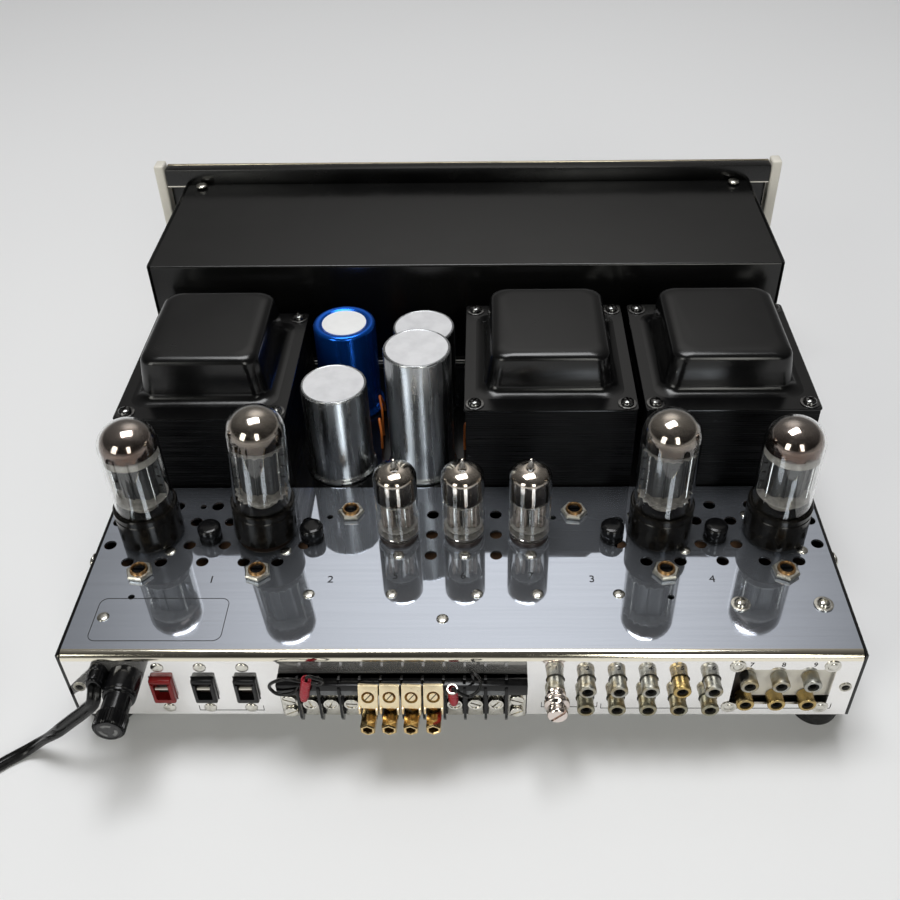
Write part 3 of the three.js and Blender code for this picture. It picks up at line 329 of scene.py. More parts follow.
class Form:
    """Collects closed shapes, each with its finish, into one piece."""

    def __init__(self):
        self.shapes = []
        self.looks = []
        self.which = []

    def add(self, shape, look, place=in_place):
        self.shapes.append(moved(shape, place))
        if look not in self.looks:
            self.looks.append(look)
        self.which += [self.looks.index(look)] * len(shape[1])
        return self

    def piece(self, name, rides=body, stands_for=(), slot=None):
        mesh = mesh_of(name, together(self.shapes))
        for look in self.looks:
            mesh.materials.append(look)
        mesh.polygons.foreach_set("material_index", self.which)
        mesh.shade_smooth()
        mesh.set_sharp_from_angle(angle=smooth_limit)
        ob = bpy.data.objects.new(name, mesh)
        bpy.context.scene.collection.objects.link(ob)
        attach(ob, rides)
        if stands_for:
            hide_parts(*stands_for)
        return ob


# Materials
class Look:
    """A material, with short calls for its nodes."""

    def __init__(self, name, color, roughness, metallic=0, **sockets):
        self.material = bpy.data.materials.new(name)
        self.material.use_nodes = True
        tree = self.material.node_tree
        self.nodes, self.links = tree.nodes, tree.links
        self.shader = self.nodes["Principled BSDF"]
        self.shader.inputs["Base Color"].default_value = (*color, 1)
        self.shader.inputs["Roughness"].default_value = roughness
        self.shader.inputs["Metallic"].default_value = metallic
        for key, value in sockets.items():
            self.shader.inputs[key.replace("_", " ")].default_value = value

    def grain(self, size, stretch=(1, 1, 1), kind="Noise", out="Fac", detail=4):
        """Noise whose features have about that size, in metres."""
        where = self.nodes.new("ShaderNodeTexCoord")
        spread = self.nodes.new("ShaderNodeMapping")
        spread.inputs["Scale"].default_value = [s / size for s in stretch]
        texture = self.nodes.new(f"ShaderNodeTex{kind}")
        if "Detail" in texture.inputs:
            texture.inputs["Detail"].default_value = detail
        texture.inputs["Scale"].default_value = 1
        self.links.new(where.outputs["Object"], spread.inputs["Vector"])
        self.links.new(spread.outputs["Vector"], texture.inputs["Vector"])
        return texture.outputs[out]

    def bands(self, size, distortion):
        """Level lines, one for each stretch of that size."""
        fac = self.grain(size, kind="Wave")
        wave = fac.node
        wave.wave_type = "BANDS"
        wave.bands_direction = "Z"
        wave.inputs["Scale"].default_value = math.pi / 10
        wave.inputs["Distortion"].default_value = distortion
        return fac

    def spread(self, fac, from_low, from_high, low=0.0, high=1.0):
        limits = self.nodes.new("ShaderNodeMapRange")
        self.links.new(fac, limits.inputs["Value"])
        names = ("From Min", "From Max", "To Min", "To Max")
        for name, value in zip(names, (from_low, from_high, low, high)):
            limits.inputs[name].default_value = value
        return limits.outputs["Result"]

    def tint(self, fac, color):
        """Mixes another colour in by fac."""
        mix = self.nodes.new("ShaderNodeMix")
        mix.data_type = "RGBA"
        socket = self.shader.inputs["Base Color"]
        if socket.is_linked:
            self.links.new(socket.links[0].from_socket, mix.inputs[6])
        else:
            mix.inputs[6].default_value = socket.default_value
        mix.inputs[7].default_value = (*color, 1)
        self.links.new(fac, mix.inputs[0])
        self.links.new(mix.outputs[2], socket)
        return self

    def rough(self, fac, low, high, from_low=0.3, from_high=0.7):
        self.links.new(self.spread(fac, from_low, from_high, low, high), self.shader.inputs["Roughness"])
        return self

    def bump(self, fac, height, strength=1.0):
        relief = self.nodes.new("ShaderNodeBump")
        relief.inputs["Strength"].default_value = strength
        relief.inputs["Distance"].default_value = height
        self.links.new(fac, relief.inputs["Height"])
        socket = self.shader.inputs["Normal"]
        if socket.is_linked:
            self.links.new(socket.links[0].from_socket, relief.inputs["Normal"])
        self.links.new(relief.outputs["Normal"], socket)
        return self

    def lets_lamps_through(self):
        """Light from lamps passes, so that what is inside glass is lit."""
        output = self.nodes["Material Output"]
        rays = self.nodes.new("ShaderNodeLightPath")
        clear = self.nodes.new("ShaderNodeBsdfTransparent")
        mix = self.nodes.new("ShaderNodeMixShader")
        self.links.new(rays.outputs["Is Shadow Ray"], mix.inputs[0])
        self.links.new(self.shader.outputs[0], mix.inputs[1])
        self.links.new(clear.outputs[0], mix.inputs[2])
        self.links.new(mix.outputs[0], output.inputs["Surface"])
        return self


def darker(color, share=0.8):
    return tuple(c * share for c in color)


chrome_smudge = 0.05
chrome_line = 0.0016
chrome_speck = 0.0022
chrome_wave = 0.09
chrome_line_depth = 0.000006
chrome_wave_depth = 0.0003
dust_speck = 0.0032
dust_patch = 0.03
dust_color = (0.3, 0.29, 0.27)
enamel_grain = 0.0009
fine_depth = 0.00001


def chrome_look(name, color, haze, film=0.0):
    look = Look(name, color, haze, 1 - film / 7, Coat_Weight=film, Coat_Roughness=0.42)
    look.rough(look.grain(chrome_smudge), haze, haze + 0.05, 0.45, 0.75)
    lines = look.grain(chrome_line, (0.015, 1, 1))
    look.tint(look.spread(lines, 0.4, 0.75, 0, 0.3), darker(color))
    specks = look.spread(look.grain(chrome_speck, kind="Voronoi", out="Distance"), 0.1, 0.06, 0, 0.35)
    look.tint(specks, (0.25, 0.24, 0.22))
    look.bump(lines, chrome_line_depth, 0.5)
    look.bump(look.grain(chrome_wave), chrome_wave_depth, 0.06)
    return look.material


def enamel_look(name, color, roughness, dust=0.5):
    look = Look(name, color, roughness, Specular_IOR_Level=0.44)
    specks = look.grain(dust_speck, kind="Voronoi", out="Distance")
    sparse = look.spread(look.grain(dust_patch), 0.5, 0.62)
    both = look.nodes.new("ShaderNodeMath")
    both.operation = "MULTIPLY"
    look.links.new(look.spread(specks, 0.075, 0.05, 0, dust), both.inputs[0])
    look.links.new(sparse, both.inputs[1])
    look.tint(both.outputs[0], dust_color)
    look.rough(look.grain(0.02), roughness * 0.85, roughness * 1.25)
    look.bump(look.grain(enamel_grain), 2 * fine_depth, 0.4)
    return look.material


def metal_look(name, color, roughness, worn, amount=0.5, grain_size=0.004, metallic=1):
    """A plated metal whose plating has worn in places."""
    look = Look(name, color, roughness, metallic)
    look.tint(look.spread(look.grain(grain_size), 0.45, 0.7, 0, amount), worn)
    look.rough(look.grain(grain_size / 2), roughness * 0.7, roughness * 1.5)
    look.bump(look.grain(0.0006), fine_depth, 0.5)
    return look.material


def plastic_look(name, color, roughness, wear=(0.3, 0.3, 0.3), amount=0.06):
    look = Look(name, color, roughness, Specular_IOR_Level=0.28)
    look.tint(look.spread(look.grain(0.002), 0.5, 0.8, 0, amount), wear)
    look.rough(look.grain(0.006), roughness * 0.8, roughness * 1.4)
    look.bump(look.grain(0.0007), fine_depth, 0.4)
    return look.material


def brushed_look(name, color, roughness, stretch):
    look = Look(name, color, roughness, 1)
    lines = look.grain(0.0005, stretch)
    look.rough(lines, roughness * 0.7, roughness * 1.4)
    look.bump(lines, 0.000008, 0.6)
    look.tint(look.spread(look.grain(0.04), 0.4, 0.7, 0, 0.15), darker(color))
    return look.material


def lamination_look():
    look = Look("core_laminations", (0.0015, 0.0015, 0.0017), 0.34, Specular_IOR_Level=0.12)
    lines = look.bands(0.0012, 0.6)
    broken = look.grain(0.003, (0.08, 0.08, 2.5))
    look.tint(look.spread(broken, 0.56, 0.75, 0, 0.25), (0.04, 0.04, 0.043))
    look.rough(broken, 0.25, 0.6)
    look.bump(lines, 0.0002, 0.6)
    look.bump(broken, 0.0002, 0.5)
    return look.material


def can_look(name, color):
    look = Look(name, color, 0.24, 1)
    streaks = look.grain(0.004, (1, 1, 0.07))
    look.tint(look.spread(streaks, 0.42, 0.7, 0, 0.6), (0.34, 0.36, 0.37))
    look.tint(look.spread(look.grain(0.0014), 0.62, 0.72, 0, 0.4), (0.2, 0.2, 0.2))
    look.rough(streaks, 0.18, 0.36)
    look.bump(look.grain(0.01), 0.0002, 0.1)
    return look.material


def mottled_look(name, color, other, roughness, size=0.004, metallic=0, **sockets):
    look = Look(name, color, roughness, metallic, **sockets)
    look.tint(look.spread(look.grain(size, detail=8), 0.4, 0.7, 0, 0.7), other)
    look.rough(look.grain(size * 2), roughness * 0.8, roughness * 1.2)
    look.bump(look.grain(size / 6), 0.00003, 0.4)
    return look.material


def glass_look():
    look = Look("valve_glass", (0.985, 0.99, 0.985), 0.01, Transmission_Weight=1.0, IOR=1.46)
    look.bump(look.grain(0.012), 0.0002, 0.03)
    return look.lets_lamps_through().material


def getter_look(name, color, edge, ragged):
    """Silver mirror inside the glass, fading out in a brown haze at its edge."""
    look = Look(name, color, 0.09, 1)
    fade = look.nodes.new("ShaderNodeAttribute")
    fade.attribute_name = "fade"
    uneven = look.nodes.new("ShaderNodeMath")
    uneven.operation = "ADD"
    look.links.new(fade.outputs["Fac"], uneven.inputs[0])
    look.links.new(look.spread(look.grain(0.007), 0.3, 0.7, -ragged, ragged), uneven.inputs[1])
    look.tint(look.spread(uneven.outputs[0], 0.12, 0.74), edge)
    look.links.new(look.spread(uneven.outputs[0], 0.9, 1.04, 1, 0), look.shader.inputs["Alpha"])
    look.rough(look.grain(0.004), 0.05, 0.16)
    return look.material


# The deck chrome's blue tint is partly chrome's own cast and partly a painted bluish reflection.
chrome = chrome_look("deck_chrome", (0.61, 0.66, 0.76), 0.035, 0.5)
# Warm, brighter chrome for the bend: partly chrome worn towards brass, partly a painted warm highlight along
# the bend.
bend_chrome_painted_highlight = chrome_look("bend_chrome_painted_highlight", (0.9, 0.84, 0.7), 0.1)
rear_chrome = metal_look("rear_chrome", (0.93, 0.92, 0.91), 0.05, (0.86, 0.84, 0.81), 0.5, 0.02, 0.86)
chassis_black = enamel_look("chassis_black", (0.0015, 0.0015, 0.0017), 0.16)
cover_black = enamel_look("cover_black", (0.0042, 0.0042, 0.0042), 0.2, 0.35)
bell_black = enamel_look("bell_black", (0.0022, 0.0022, 0.0024), 0.22, 0.8)
rail_grey = enamel_look("rail_grey", (0.001, 0.001, 0.001), 0.24, 0.2)
laminations = lamination_look()
can_metal = can_look("can_aluminium", (0.4, 0.41, 0.42))
can_white = mottled_look("can_top", (0.74, 0.74, 0.76), (0.6, 0.6, 0.62), 0.45, 0.007, 0.1)
blue_film = mottled_look("blue_sleeve", (0.008, 0.12, 0.62), (0.006, 0.09, 0.5), 0.24, 0.01, 0.82)
white_disc = mottled_look("white_disc", (0.86, 0.86, 0.86), (0.8, 0.8, 0.8), 0.5, 0.006)
glass = glass_look()
silver_getter = getter_look("getter_silver", (0.58, 0.51, 0.44), (0.05, 0.028, 0.014), 0.08)
smoky_getter = getter_look("getter_smoky", (0.46, 0.39, 0.35), (0.09, 0.04, 0.02), 0.16)
mica = mottled_look("mica", (0.26, 0.25, 0.235), (0.1, 0.09, 0.085), 0.3, 0.003, Alpha=0.7)
smoked_mica = mottled_look("smoked_mica", (0.15, 0.14, 0.13), (0.05, 0.045, 0.04), 0.25, 0.003)
plate_grey = mottled_look("anode_grey", (0.034, 0.035, 0.037), (0.016, 0.016, 0.017), 0.36, 0.002, 0.3)
plate_bright = mottled_look("anode_bright", (0.2, 0.17, 0.15), (0.09, 0.07, 0.06), 0.3, 0.0015, 0.6)
rod_metal = metal_look("support_rods", (0.7, 0.69, 0.66), 0.2, (0.4, 0.38, 0.35))
base_black = plastic_look("valve_base", (0.004, 0.0035, 0.003), 0.17, (0.12, 0.1, 0.07), 0.12)
phenolic = mottled_look("phenolic", (0.11, 0.055, 0.022), (0.06, 0.028, 0.012), 0.5, 0.002)
dark_phenolic = mottled_look("dark_phenolic", (0.02, 0.012, 0.009), (0.012, 0.007, 0.005), 0.45, 0.002)
brass = metal_look("old_brass", (0.42, 0.25, 0.11), 0.34, (0.16, 0.09, 0.045), 0.8, 0.002)
bright_brass = metal_look("bright_brass", (0.8, 0.58, 0.25), 0.22, (0.5, 0.36, 0.18), 0.6, 0.003)
nickel = metal_look("nickel", (0.72, 0.7, 0.64), 0.2, (0.42, 0.4, 0.34), 0.6, 0.003)
jack_nickel = metal_look("jack_nickel", (0.4, 0.4, 0.37), 0.36, (0.36, 0.28, 0.14), 0.9, 0.006)
jack_brass = metal_look("jack_brass", (0.5, 0.36, 0.14), 0.3, (0.3, 0.24, 0.14), 0.9, 0.004)
jack_olive = metal_look("jack_olive", (0.3, 0.29, 0.22), 0.34, (0.34, 0.25, 0.11), 0.9, 0.005)
plug_chrome = metal_look("plug_chrome", (0.78, 0.69, 0.64), 0.12, (0.6, 0.5, 0.45), 0.4, 0.005)
gold = metal_look("gold_plate", (0.8, 0.6, 0.31), 0.17, (0.6, 0.42, 0.17), 0.4, 0.003)
pale_gold = metal_look("gold_face", (0.93, 0.8, 0.55), 0.34, (0.86, 0.68, 0.42), 0.4, 0.003)
# Dark gold for the countersink round the post screws: painted shade in the recess.
painted_recess_shade = metal_look("gold_painted_recess_shade", (0.4, 0.25, 0.08), 0.3, (0.2, 0.12, 0.04), 0.5, 0.001)
dull_nickel = metal_look("dull_nickel", (0.56, 0.54, 0.48), 0.36, (0.36, 0.33, 0.26), 0.5, 0.003)
black_plastic = plastic_look("black_plastic", (0.004, 0.004, 0.0045), 0.15, amount=0.02)
dark_plastic = plastic_look("dark_plastic", (0.03, 0.03, 0.031), 0.35, (0.2, 0.2, 0.2), 0.2)
# Grey for the lower front of the strip's ridge: a painted reflection band.
ridge_painted_reflection = plastic_look("ridge_painted_reflection", (0.12, 0.125, 0.13), 0.25, (0.04, 0.04, 0.045), 0.8)
red_plastic = plastic_look("oxblood_plastic", (0.2, 0.008, 0.008), 0.18, (0.4, 0.05, 0.04), 0.2)
red_sleeve = plastic_look("red_sleeve", (0.33, 0.012, 0.025), 0.25, (0.5, 0.1, 0.1), 0.2)
rubber = plastic_look("black_rubber", (0.01, 0.01, 0.01), 0.6, (0.1, 0.1, 0.1), 0.2)
cord_black = plastic_look("cord_black", (0.005, 0.005, 0.005), 0.24, amount=0.02)
# Near black, for painted shade in holes, slots and bores.
painted_hole_shade = plastic_look("painted_hole_shade", (0.003, 0.0025, 0.002), 0.7)
orange_wire = plastic_look("orange_wire", (0.5, 0.13, 0.02), 0.35)
cream = enamel_look("cream_metal", (0.72, 0.69, 0.62), 0.34, 0.0)
champagne = brushed_look("champagne_face", (0.74, 0.66, 0.5), 0.26, (0.02, 1, 1))
champagne_turned = brushed_look("champagne_knob", (0.78, 0.7, 0.53), 0.2, (1, 1, 0.05))
zinc = metal_look("zinc_plate", (0.5, 0.51, 0.5), 0.36, (0.3, 0.29, 0.24), 0.5, 0.02)
black_ink = plastic_look("black_ink", (0.01, 0.01, 0.01), 0.5)
black_screw = metal_look("black_screws", (0.14, 0.14, 0.14), 0.16, (0.45, 0.44, 0.42), 0.5, 0.0012)
worn_print = plastic_look("worn_print", (0.16, 0.16, 0.16), 0.4, (0.03, 0.03, 0.03), 0.9)
strip_black = plastic_look("strip_black", (0.002, 0.002, 0.0022), 0.1, amount=0.02)


# Mains lead: one flat twin lead from the gland to the plug, most of it in a coil
cord_width = 0.0064
cord_thickness = 0.0034
cord_hang_facing = (-0.35, 0.58, 0.73)
cord_flat_height = 0.012
cord_groove_angle = math.radians(40)
cord_arc_points = 9
cord_route = [
    (0.1652, 0.0053, 0.0506),
    (0.1651, 0.0085, 0.0504),
    (0.1648, 0.0116, 0.0486),
    (0.166, 0.0134, 0.0446),
    (0.1702, 0.0133, 0.0396),
    (0.1748, 0.013, 0.0348),
    (0.1794, 0.0125, 0.0302),
    (0.1842, 0.0121, 0.0253),
    (0.189, 0.0116, 0.0205),
    (0.1938, 0.0106, 0.0158),
    (0.1986, 0.0096, 0.011),
    (0.2038, 0.0092, 0.0064),
    (0.2099, 0.0106, 0.0028),
    (0.2165, 0.0146, 0.0017),
    (0.223, 0.02, 0.0017),
    (0.23, 0.0264, 0.0017),
    (0.238, 0.0324, 0.0017),
    (0.2475, 0.0374, 0.0017),
    (0.2585, 0.0404, 0.0017),
    (0.27, 0.0412, 0.0017),
]
cord_step = 0.0022
coil_x = 0.305
coil_reach = 0.002
coil_radius = 0.0345
coil_turn_pitch = 0.0084
coil_layers = 4
coil_turns_per_layer = 1.57
coil_climb = 1 / 6
coil_layer_pitch = 0.00395
coil_steps = 72
coil_exit_swing = 0.0085
coil_exit_out = 1 / 4
coil_exit_down = 3 / 8
coil_start_angle = math.radians(96)


def eased(share):
    return (1 - math.cos(min(max(share, 0), 1) * math.pi)) / 2


def coil_path():
    span = coil_turns_per_layer + coil_climb
    turns = coil_layers * span - coil_climb
    swing = coil_turn_pitch * coil_turns_per_layer / 2
    path = []
    for k in range(round((turns + coil_exit_out + coil_exit_down) * coil_steps) + 1):
        turn = k / coil_steps
        angle = coil_start_angle - turn * math.tau
        layer = min(math.floor(turn / span), coil_layers - 1)
        within = turn - layer * span
        along = min(within / coil_turns_per_layer, 1)
        inward = 1 - 2 * along if layer % 2 == 0 else 2 * along - 1
        climbing = eased((within - coil_turns_per_layer) / coil_climb) if layer < coil_layers - 1 else 0
        leaving = turn - turns
        radius = coil_radius + inward * swing + eased(leaving / coil_exit_out) * coil_exit_swing
        height = (layer + climbing) * (1 - eased((leaving - coil_exit_out) / coil_exit_down))
        x, y = coil_x + radius * math.cos(angle), rear_y + coil_reach + radius * math.sin(angle)
        path.append(Vector((x, y, cord_thickness / 2 + height * coil_layer_pitch)))
    inwards = (path[1] - path[0]).normalized()
    outwards = (path[-1] - path[-2]).normalized()
    start = path[0] - inwards * cord_width
    end = path[-1] + outwards * cord_width
    return [start - inwards * 2 * cord_width, start, *path, end], outwards


def cord_section():
    """Two round strands side by side, with a groove between them."""
    strand = cord_thickness / 2
    shift = cord_width / 2 - strand
    reach = math.pi - cord_groove_angle
    points = []
    for side in (1, -1):
        for k in range(cord_arc_points):
            angle = reach * (2 * k / (cord_arc_points - 1) - 1)
            points.append((side * (shift + strand * math.cos(angle)), side * strand * math.sin(angle)))
    return points


def swept_cord(path):
    section = cord_section()
    vertical = Vector((0, 0, 1))
    hanging = Vector(cord_hang_facing)
    rings = []
    for k, point in enumerate(path):
        ahead = (path[min(k + 1, len(path) - 1)] - path[max(k - 1, 0)]).normalized()
        facing = vertical.lerp(hanging, min(1, max(0, point.z / cord_flat_height - 1)))
        across = ahead.cross(facing).normalized()
        lift = across.cross(ahead)
        ring = []
        for x, z in section:
            corner = point + across * x + lift * z
            corner.z = max(corner.z, 0)
            ring.append(tuple(corner))
        rings.append(ring)
    return lofted(rings)


plug_length = 0.03
plug_width = 0.017
plug_height = 0.011
plug_neck = 0.012
blade_length = 0.016
blade_width = 0.0063
blade_thickness = 0.0015
blade_spacing = 0.0127
blade_sink = 0.001
plug_bevel = 0.001
plug_neck_stations = [(0, 0.0038, 0.0052), (0.7, 0.0043, 0.006), (1, 0.006, 0.0078)]
plug_shoulder_half = 0.0078
plug_shoulder_height = 0.0104
plug_shoulder_share = 0.15
plug_full_share = 0.45
plug_rib_thickness = 0.0012
plug_rib_height = 0.0006
plug_rib_count = 4
plug_rib_start_share = 0.55
plug_rib_pitch_share = 0.09


def plug_body():
    """Half widths and heights along the plug, from its neck to its face."""
    stations = [(plug_neck * share, half, height) for share, half, height in plug_neck_stations]
    stations += [
        (plug_neck + plug_length * plug_shoulder_share, plug_shoulder_half, plug_shoulder_height),
        (plug_neck + plug_length * plug_full_share, plug_width / 2, plug_height),
        (plug_neck + plug_length - plug_bevel, plug_width / 2, plug_height),
        (plug_neck + plug_length, plug_width / 2 - plug_bevel, plug_height - plug_bevel),
    ]
    rings = []
    for along, half, height in stations:
        square = [(-half, 0), (half, 0), (half, height), (-half, height)]
        outline = rounded(square, min(half, height) * 0.6, 5, True)
        rings.append([(along, y, z) for y, z in outline])
    return lofted(rings)


def mains_lead():
    bends = [Vector((x, rear_y + reach, z)) for x, reach, z in cord_route]
    coil, outwards = coil_path()
    free = smooth_path([*bends[1:], coil[0], coil[1]], cord_step)
    path = [bends[0], *free, *coil[2:]]
    length = sum((b - a).length for a, b in zip(path, path[1:]))
    lead = Form().add(swept_cord(path), cord_black)
    lead = lead.piece("mains_lead", stands_for=("power_cord", "cord_coil"), slot="black_rubber")
    end = path[-1] + outwards * fit_gap
    place = at(end.x, end.y, 0) @ spin(math.atan2(outwards.y, outwards.x))
    plug = Form().add(plug_body(), black_plastic, place)
    tip = plug_neck + plug_length
    blade = block(blade_length + 2 * blade_sink, blade_thickness, blade_width, plain_edge)
    for side in (-1, 1):
        at_face = at(tip + blade_length / 2 - blade_sink, side * blade_spacing / 2, plug_height / 2)
        plug.add(blade, bright_brass, place @ at_face)
    rib = block(plug_rib_thickness, plug_width * 0.55, plug_rib_height, hair_edge)
    for k in range(plug_rib_count):
        along = plug_neck + plug_length * (plug_rib_start_share + plug_rib_pitch_share * k)
        plug.add(rib, black_plastic, place @ at(along, 0, plug_height))
    plug = plug.piece("mains_plug", stands_for=("power_plug",), slot="black_plastic")
    return lead, plug, path, length


# Gland: an upright oval with a lip, squeezed about the lead
gland_x = middle_of("cord_gland").x
gland_z = middle_of("cord_gland").z
gland_width = 0.0072
gland_height = 0.0136
gland_hole_radius = 0.006
gland_neck = 0.0054
gland_root = 0.0028
gland_lip = 0.0032
gland_reach = 0.0095
gland_chamfer = 0.0012
gland_rib_width = 0.0012
gland_rib_depth = 0.0022
gland_rib_inset = 0.005
gland_dip = 0.001
gland_rib_count = 8
gland_swell = 1.2


def cord_gland():
    """Squeezed sideways to an upright oval."""
    full = gland_height / 2
    grip, nose = full * 0.9, full * 0.78
    start, end = gland_lip + small_edge, gland_reach - gland_chamfer
    dip = gland_reach - gland_dip
    profile = [(0, -gland_root), (gland_neck, -gland_root), (gland_neck, fit_gap), (full, fit_gap)]
    profile += [(full, gland_lip), (grip, start), (grip, end), (nose, gland_reach)]
    profile += [(gland_neck * 0.55, gland_reach), (gland_neck * 0.5, dip), (0, dip)]
    squeeze = Matrix.Diagonal((gland_swell * gland_width / gland_height, 1, 1, 1))
    place = on_rear(gland_x, gland_z) @ squeeze
    form = Form().add(turned(rounded(profile, soft_edge), round_sides), black_plastic, place)
    rib_length, rib_middle = gland_reach - gland_rib_inset, (start + end - hair_edge) / 2
    rib = block(gland_rib_width, gland_rib_depth, rib_length, small_edge)
    for k in range(gland_rib_count):
        turn = spin((k + 0.5) * math.tau / gland_rib_count)
        form.add(rib, black_plastic, place @ turn @ at(grip, 0, rib_middle))
    return form.piece("mains_gland", stands_for=("cord_gland",), slot="black_plastic")


lead, plug, lead_path, lead_length = mains_lead()
gland = cord_gland()


# Fasteners
def cross_tool(width, length, depth, top):
    near, far = width / 2, length / 2
    quarter = [(far, near), (near, near), (near, far)]
    outline = []
    for k in range(4):
        c, s = math.cos(k * math.pi / 2), math.sin(k * math.pi / 2)
        outline += [(x * c - y * s, x * s + y * c) for x, y in quarter]
    return prism(outline, top - depth, top + depth)


def arc_points(radius, low, high, steps):
    """A quarter of an oval, from the radius at the low height to the axis at the high one."""
    angles = [k / steps * math.pi / 2 for k in range(steps + 1)]
    points = [(radius * math.cos(a), low + (high - low) * math.sin(a)) for a in angles]
    return [*points[:-1], (0, high)]


def dome_profile(radius, height, lip=0.0):
    """A shallow dome over a short upright lip."""
    return [(0, 0), (radius, 0), *arc_points(radius, lip, height, 8)]


def phillips_head(radius, height):
    head = turned(dome_profile(radius, height, height * 0.25), small_sides)
    return carved(head, [cross_tool(radius * 0.3, radius * 1.25, height * 0.6, height)])


def slotted_head(radius, height):
    profile = rounded([(0, 0), (radius, 0), (radius, height), (0, height)], height * 0.3)
    slot = block(radius * 3, radius * 0.24, height)
    return carved(turned(profile, small_sides), [moved(slot, at(0, 0, height))])


def ring_shape(outer, inner, height):
    return sleeve(inner, outer, 0, height, min(height, outer - inner) * 0.25, small_sides)


washer_height = 0.0006
rivet_shape = turned(dome_profile(0.0029, 0.0009), small_sides)
small_phillips = phillips_head(0.0031, 0.0022)
washer_shape = ring_shape(0.0046, 0.0018, washer_height)


# Chrome deck: one bent sheet with its holes
bend_radius = 0.004
bend_steps = 24
valve_x = middle_of("power_tube_1").x
valve_y = middle_of("power_tube_1").y
valve_pitch = 0.0578
valve_places = {
    "power_tube_1": valve_x,
    "power_tube_2": valve_x - valve_pitch,
    "power_tube_3": valve_pitch - valve_x,
    "power_tube_4": -valve_x,
}
driver_y = middle_of("driver_tube_2").y
driver_x = [middle_of(f"driver_tube_{k}").x for k in (1, 2, 3)]
vent_radius = 0.0031
vent_ring = 0.0217
vent_count = 8
vent_pair_shift = 0.02
driver_vent_shift = 0.0162
driver_vent_pitch = 0.0145
socket_radius = 0.0136
small_socket_radius = 0.0094
bush_radius = 0.0044
test_stem_radius = 0.0034
test_places = [(x, 0.0931) for x in (0.1268, 0.0752, -0.0752, -0.1268)]
trim_nodes = [f"bias_trim_{k}" for k in (1, 2, 3, 4)] + ["balance_trim_1", "balance_trim_2"]
trim_places = {n: middle_of(n).xy for n in trim_nodes}
pin_hole_radius = 0.0016
pin_hole_places = [
    (0.1573, 0.1324),
    (-0.0997, 0.1328),
    (0.0684, 0.0777),
    (-0.0466, 0.0785),
    (0.1356, 0.0699),
    (0.0992, 0.1108),
    (-0.157, 0.1105),
]
rivet_places = [
    (0.1674, 0.1448),
    (0.0725, 0.1308),
    (0.0329, 0.1307),
    (-0.0079, 0.1308),
    (-0.0367, 0.1308),
    (-0.0753, 0.1309),
    (0.0081, 0.1462),
]
driver_rivet_x = -0.0007
driver_rivet_y = 0.0144
base_rivet_x = 0.0115
base_rivet_y = 0.0127
deck_screw_places = [(-0.1316, 0.1375), (-0.1703, 0.1376)]
side_screw_back = 0.062
side_screw_drop = 0.004
jack_radius = 0.0041
jack_pitch = 0.0143
jack_x = [-0.0439 - jack_pitch * k for k in range(6)]
jack_z = [0.0441, 0.0305]
side_jack_x = [-0.1607 + jack_pitch * k for k in range(3)]
window_x = (-0.171, -0.1255)
window_z = (0.0259, 0.0515)
outlet_x = [middle_of(f"ac_outlet_{k}").x for k in (1, 2, 3)]
outlet_z = deck_top - 0.0234
outlet_width = 0.0104
outlet_height = 0.0166
fuse_x = middle_of("fuse_cap").x
fuse_z = middle_of("fuse_cap").z
fuse_body_radius = 0.0062
eyelet_x = 0.1774
eyelet_z = deck_top - 0.0226
eyelet_radius = 0.0021
deck_cut_depth = sheet * 6
rear_cut_depth = sheet * 5


def deck_outline():
    """Points of depth and height, with the bend at the rear."""
    outline = [(rear_y - deck_front, deck_top)]
    angles = [math.pi / 2 * (1 + k / bend_steps) for k in range(bend_steps + 1)]
    arcs = []
    for radius in (bend_radius, bend_radius - sheet):
        centre = deck_top - bend_radius
        arcs.append([(bend_radius + radius * math.cos(a), centre + radius * math.sin(a)) for a in angles])
    outline += [*arcs[0], (0, pan_low.z), (sheet, pan_low.z), *arcs[1][::-1]]
    outline.append((rear_y - deck_front, deck_top - sheet))
    return outline


def deck_hole(radius, x, y, sides=round_sides):
    return moved(rod(radius, -deck_cut_depth, deck_cut_depth, sides), at(x, y, deck_top))


def vent_tools():
    places = []
    for x in valve_places.values():
        places.append((socket_radius + fit_gap, x, valve_y))
        for k in range(vent_count):
            angle = (k + 0.5) * math.tau / vent_count
            across, along = vent_ring * math.cos(angle), vent_ring * math.sin(angle)
            places.append((vent_radius, x + across, valve_y + along))
    for side in (-1, 1):
        for y in (valve_y - vent_pair_shift, valve_y + vent_pair_shift):
            places.append((vent_radius, side * (valve_x - valve_pitch / 2), y))
        for row in (-1, 0, 1):
            x = driver_x[1] + side * driver_vent_shift
            places.append((vent_radius, x, driver_y + row * driver_vent_pitch))
    return [deck_hole(*place) for place in places]


def fitting_tools():
    holes = [deck_hole(test_stem_radius + fit_gap, x, y) for x, y in test_places]
    holes += [deck_hole(small_socket_radius + fit_gap, x, driver_y) for x in driver_x]
    holes += [deck_hole(bush_radius + fit_gap, x, y) for x, y in trim_places.values()]
    holes += [deck_hole(pin_hole_radius, x, y, small_sides) for x, y in pin_hole_places]
    return holes


